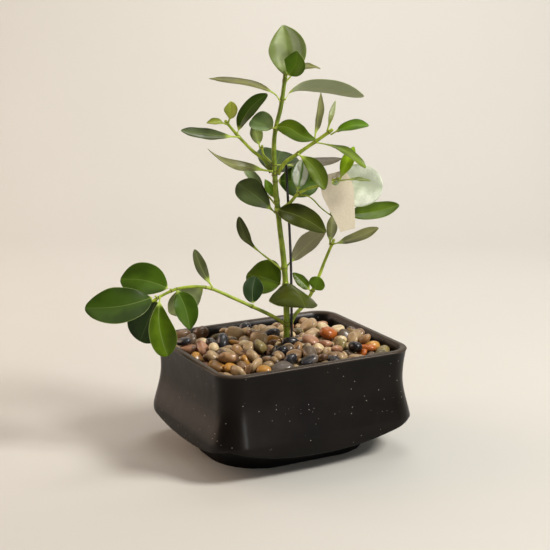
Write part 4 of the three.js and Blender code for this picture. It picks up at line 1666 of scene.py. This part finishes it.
@dataclass
class Leaf:
    """One thick, leathery leaf with a rounded margin, a midrib and a short stalk."""

    node: str
    look: LeafLook
    seed: int
    rows: int = 44
    stations: tuple[float, ...] = (0, 0.06, 0.15, 0.28, 0.43, 0.58, 0.73, 0.86, 0.955)
    columns: tuple[float, ...] = (
        0.0, 0.03, 0.07, 0.13, 0.22, 0.33, 0.46, 0.6, 0.73, 0.84, 0.92, 0.97, 0.993
    )
    wave: float = 0.5 * MM
    rib_height: float = 0.55 * MM
    rib_width: float = 0.8 * MM
    narrowest: float = 0.12 * MM
    thin_below: float = 1.6 * MM
    full_above: float = 5 * MM
    bend: float = 0.3
    reach_in: float = 1.7 * MM

    def __post_init__(self) -> None:
        """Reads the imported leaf."""
        self.blade = BladeLine.of(self.node)
        self.draw = random.Random(self.seed * 31 + 7)

    @property
    def start(self) -> Array:
        """Where the stalk leaves the stem."""
        return self.blade.middle[0]

    def _section_xs(self) -> tuple[Array, Array]:
        """Goes across the blade, over its top and back under it.

        Returns:
            The places across it, and which side each is on: 1 for the top and -1 for the underside.
        """
        half = [*self.columns, 1.0]
        over = [-x for x in reversed(half)] + half[1:]
        back = over[-2:0:-1]
        return np.array(over + back), np.array([1.0] * len(over) + [-1.0] * len(back))

    def build(self, material: bpy.types.Material) -> bpy.types.Object:
        """Makes the leaf.

        Args:
            material: The leaf finish.

        Returns:
            The piece.
        """
        b = self.blade
        knots = np.array([*self.stations, 1.0])
        s = 0.5 - 0.5 * np.cos(np.linspace(0, np.pi, self.rows))[:-1]
        widths = np.linalg.norm(b.across, axis=1)
        square = curve_through(knots, np.append(widths**2, 0.0), s)
        half = np.sqrt(np.maximum(square, self.narrowest**2))
        middle = curve_through(knots, np.vstack([b.middle, b.tip]), s)
        across = unit(curve_through(self.stations, b.across / widths[:, None], s))
        folded = curve_through(self.stations, b.lift / widths[:, None], s)
        upward = unit(curve_through(self.stations, b.upward, s))
        thick = curve_through(self.stations, b.thickness, s)
        thick = thick * np.clip(half / self.thin_below, 0, 1) ** 0.6
        heading = unit(np.gradient(middle, axis=0))
        is_blade = smoothstep(2 * MM, self.full_above, half)
        stalk = (1 - smoothstep(self.thin_below, self.full_above, half)) * (s < 0.5)
        x, side = self._section_xs()
        dish = (np.sqrt(x**2 + self.bend**2) - self.bend) / self._full_dish()
        ripple = self._ripple(s, x) * is_blade[:, None]
        skin = (
            middle[:, None]
            + across[:, None] * (half[:, None] * x)[..., None]
            + folded[:, None] * (half[:, None] * dish)[..., None]
            + upward[:, None] * ripple[..., None]
        )
        normal = unit(np.cross(heading[:, None], self._slope(across, folded, x)))
        normal = normal * np.sign((normal * upward[:, None]).sum(axis=-1, keepdims=True))
        power = blend(2.2, 7.0, is_blade)[:, None]
        body = thick[:, None] / 2 * np.sqrt(np.clip(1 - np.abs(x) ** power, 0, 1))
        rib = self._rib(s, half, x) * is_blade[:, None]
        lift = np.where(side > 0, body - 0.35 * rib, -(body + rib))
        skin = skin + normal * lift[..., None]
        rings, extra = self._into_stem(skin, heading[0])
        wide = np.ones((1, len(x)))
        values = {
            "along": np.concatenate([np.zeros(extra), s])[:, None] * wide,
            "across": np.concatenate([np.zeros(extra), half])[:, None] * x,
            "edge": np.ones((len(s) + extra, 1)) * x,
            "side": np.ones((len(s) + extra, 1)) * (side > 0),
            "stalk": np.concatenate([np.ones(extra), stalk])[:, None] * wide,
            "leaf_seed": np.full((len(s) + extra, len(x)), float(self.seed)),
            "leaf_wax_and_glints": np.full((len(s) + extra, len(x)), self.look.wax_and_glints),
        }
        draft = Draft()
        draft.add_loft(rings, values)
        for key, shade in {"upper": self.look.upper, "under": self.look.under}.items():
            draft.values[f"leaf_{key}"] = [np.tile(hexed(shade.value), (draft.count, 1))]
        piece = draft.build(f"{self.node}_grown", material)
        return place_piece(piece, "leaf", self.node)

    def _full_dish(self) -> float:
        """How far the dished section rises from its middle to its edge, where the edge is 1 away."""
        return math.sqrt(1 + self.bend**2) - self.bend

    def _slope(self, across: Array, folded: Array, x: Array) -> Array:
        """Gives the blade's direction across itself.

        Args:
            across: The way to the edge at each station.
            folded: The way its edges lift at each station.
            x: Places across the blade.

        Returns:
            A direction for every station and place.
        """
        rate = x / np.sqrt(x**2 + self.bend**2) / self._full_dish()
        return across[:, None] + folded[:, None] * rate[None, :, None]

    def _ripple(self, s: Array, x: Array) -> Array:
        """Makes gentle waves that grow towards the margin.

        Args:
            s: Places along the blade, from 0 to 1.
            x: Places across it, from -1 to 1.

        Returns:
            How far the skin is lifted there.
        """
        left, right = self.draw.uniform(0, math.tau), self.draw.uniform(0, math.tau)
        pace = self.draw.uniform(1.6, 2.8)
        phase = np.where(x < 0, left, right)
        return self.wave * (np.sin(s[:, None] * pace * math.tau + phase) * np.abs(x) ** 2.2)

    def _rib(self, s: Array, half: Array, x: Array) -> Array:
        """Shapes the midrib, which fades towards the tip.

        Args:
            s: Places along the blade, from 0 to 1.
            half: The blade's half width there.
            x: Places across it, from -1 to 1.

        Returns:
            The midrib's height there.
        """
        away = half[:, None] * x / (self.rib_width * (1.25 - 0.6 * s[:, None]))
        return self.rib_height * np.exp(-(away**2)) * (1 - s[:, None]) ** 0.8

    def _into_stem(self, skin: Array, heading: Array) -> tuple[Array, int]:
        """Adds a slightly swollen foot that runs into the stem.

        Args:
            skin: The leaf's rings.
            heading: The way the stalk sets out.

        Returns:
            The rings with the foot before them, and how many the foot has.
        """
        foot = skin[0].mean(axis=0)
        spread = skin[0] - foot
        steps = [(1.0, 1.0), (0.62, 1.25), (0.3, 1.18)]
        rings = [foot - heading * self.reach_in * back + spread * grow for back, grow in steps]
        return np.concatenate([np.array(rings), skin]), len(rings)


# ------------------------------------------------------------------ tag


@dataclass
class Tag:
    """The bare card tag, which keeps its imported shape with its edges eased."""

    node: str = "hang_tag"
    edge: float = 0.12 * MM

    def build(self) -> bpy.types.Object:
        """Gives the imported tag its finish.

        Returns:
            The tag.
        """
        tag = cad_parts[self.node]
        tag.data.materials.clear()
        tag.data.materials.append(CardFinish().material())
        bevel = tag.modifiers.new("eased_edge", "BEVEL")
        bevel.width = self.edge
        bevel.segments = 2
        bevel.limit_method = "ANGLE"
        LOG.info("%s: kept as packed", tag.name)
        return tag


# ------------------------------------------------------------------ the plant


@dataclass
class Plant:
    """The whole plant: stems, leaves, stake and tag."""

    trunk: str = "main_stem"
    shoots: tuple[str, ...] = (
        "branch_low_left",
        "branch_low_right",
        "branch_mid_left",
        "branch_mid_right",
        "twig_tag",
        "twig_thin",
        "twig_young",
    )

    def build(self) -> list[bpy.types.Object]:
        """Makes every leaf and stem, with joints where they meet.

        Returns:
            The pieces.
        """
        leaves = [Leaf(node, look, seed + 1) for seed, (node, look) in enumerate(LEAVES.items())]
        waxy = LeafFinish().material()
        pieces = [leaf.build(waxy) for leaf in leaves]
        starts = {leaf.node: leaf.start for leaf in leaves}
        starts |= {node: Rod.of(node).line[0] for node in self.shoots}
        bark = StemFinish("main_stem_bark", green=hexed(0x2A4406), lime=hexed(0x84982A)).material()
        pieces.append(Stem(self.trunk, bark, sides=28, age=0.2).build(starts))
        green = StemFinish().material()
        pieces += [Stem(node, green, sides=18).build(starts) for node in self.shoots]
        black = StakeFinish().material()
        cane = Stem("support_stake", black, slot="stake", sides=16, swelling=0.0)
        return [*pieces, cane.build({}), Tag().build()]


# ------------------------------------------------------------------ room, light and camera


@dataclass(frozen=True)
class Panel:
    """One soft panel light.

    Attributes:
        name: What it is called.
        place: Degrees to the right of the viewer, degrees above the horizon, and metres away.
        size: Its width and height in metres.
        watts: Its power.
        tint: Its screen colour.
        goal: The place it points at, or nothing for the plant's middle.
    """

    name: str
    place: tuple[float, float, float]
    size: tuple[float, float]
    watts: float
    tint: int
    goal: tuple[float, float, float] | None = None


PANELS = (
    Panel("key", (70, 42, 2.2), (0.6, 0.6), 64, 0xFFFAF4),
    Panel("left", (-105, 14, 1.8), (1.6, 1.6), 34, 0xFFDEC6),
    Panel("overhead", (0, 85, 1.9), (1.2, 1.2), 6, 0xFFFAF2),
    Panel("front", (37, 5, 2.0), (0.2, 0.7), 10, 0xFFFDFA),
    Panel("wall", (160, 62, 1.9), (1.0, 1.0), 26, 0xFFFCFA, goal=(180, 20, 2.0)),
)


@dataclass
class Studio:
    """A pale sweep, soft lights and the camera."""

    sweep: Colour = hexed(0xB7B6B0)
    air: Colour = hexed(0xF4EFE8)
    glow: float = 0.16
    backdrop: float = 0.5
    nearest: float = -1.7
    bend_start: float = 1.1
    bend_radius: float = 0.9
    top: float = 3.2
    half_width: float = 2.2
    camera_yaw: float = 28.0
    camera_pitch: float = 13.61
    camera_place: tuple[float, float, float] = (-0.6972, -1.2986, 0.5563)
    lens: float = 87.8
    sensor: float = 36.0

    def floor(self) -> bpy.types.Object:
        """Makes the pale floor, which curves up into the wall behind.

        Returns:
            The floor.
        """
        rows = [(self.nearest, 0.0), (self.bend_start, 0.0)]
        for turn in np.linspace(0, np.pi / 2, 24)[1:]:
            out, up = math.sin(turn), 1 - math.cos(turn)
            rows.append((self.bend_start + self.bend_radius * out, self.bend_radius * up))
        rows.append((self.bend_start + self.bend_radius, self.top))
        yaw = math.radians(self.camera_yaw)
        ahead = np.array([math.sin(yaw), math.cos(yaw)])
        beside = np.array([math.cos(yaw), -math.sin(yaw)])
        sides = np.linspace(-self.half_width, self.half_width, 9)
        points = [(*(ahead * forward + beside * out), up) for forward, up in rows for out in sides]
        mesh = bpy.data.meshes.new("studio_sweep")
        mesh.from_pydata(points, [], grid_faces(len(rows), len(sides)))
        mesh.shade_smooth()
        g = Graph("pale_sweep")
        mottled = g.shade(self.sweep, 0.98 + 0.04 * g.noise(g.place(), 3.0))
        mesh.materials.append(g.finish({"Base Color": mottled, "Roughness": 0.75}))
        floor = bpy.data.objects.new("studio_sweep", mesh)
        bpy.context.scene.collection.objects.link(floor)
        return floor

    def around(self, turn: float, rise: float, distance: float) -> Vector:
        """Finds a place round the plant.

        Args:
            turn: Degrees to the right of the viewer, as seen from above.
            rise: Degrees above the horizon.
            distance: Metres from the plant's middle.

        Returns:
            The place in the part's frame.
        """
        heading = math.radians(180 + self.camera_yaw - turn)
        level = math.cos(math.radians(rise)) * distance
        up = math.sin(math.radians(rise)) * distance
        return self.middle() + Vector((math.sin(heading) * level, math.cos(heading) * level, up))

    @staticmethod
    def middle() -> Vector:
        """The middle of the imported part's box."""
        return (CAD_BOX[0] + CAD_BOX[1]) / 2

    def hang(self, panel: Panel) -> None:
        """Hangs one soft light.

        Args:
            panel: The light.
        """
        data = bpy.data.lights.new(panel.name, "AREA")
        data.shape = "RECTANGLE"
        data.size, data.size_y = panel.size
        data.energy = panel.watts
        data.color = hexed(panel.tint)[:3]
        light = bpy.data.objects.new(panel.name, data)
        light.location = self.around(*panel.place)
        goal = self.around(*panel.goal) if panel.goal else self.middle()
        light.rotation_euler = (goal - light.location).to_track_quat("-Z", "Y").to_euler()
        bpy.context.scene.collection.objects.link(light)

    def air_glow(self) -> None:
        """Gives the room a faint glow of its own, with a pale backdrop behind all."""
        world = bpy.data.worlds.new("room")
        g = Graph("room", world)
        strength = self.glow + self.backdrop * g.node("LightPath", output="Is Camera Ray")
        glow = g.node("Background", None, {"Color": self.air, "Strength": strength})
        g.node("OutputWorld", None, {"Surface": glow})
        bpy.context.scene.world = world

    def camera(self) -> None:
        """Sets the camera where the viewer stands."""
        data = bpy.data.cameras.new("view")
        data.lens = self.lens
        data.sensor_width = self.sensor
        view = bpy.data.objects.new("view", data)
        view.location = self.camera_place
        tilt, turn = math.radians(90 - self.camera_pitch), -math.radians(self.camera_yaw)
        view.rotation_euler = Euler((tilt, 0.0, turn))
        bpy.context.scene.collection.objects.link(view)
        bpy.context.scene.camera = view

    def build(self) -> None:
        """Sets up the room."""
        self.floor()
        for panel in PANELS:
            self.hang(panel)
        self.air_glow()
        self.camera()
        bpy.context.scene.view_settings.view_transform = "Standard"


def save_sizes() -> None:
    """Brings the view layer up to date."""
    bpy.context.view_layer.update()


def main() -> None:
    """Builds the planter, its filling, the plant and the room."""
    logging.basicConfig(level=logging.INFO, format="%(name)s: %(message)s")
    planter = Planter()
    planter.build()
    Soil().build()
    PebbleBed(planter).build()
    Plant().build()
    Studio().build()
    save_sizes()


if __name__ == "__main__":
    main()
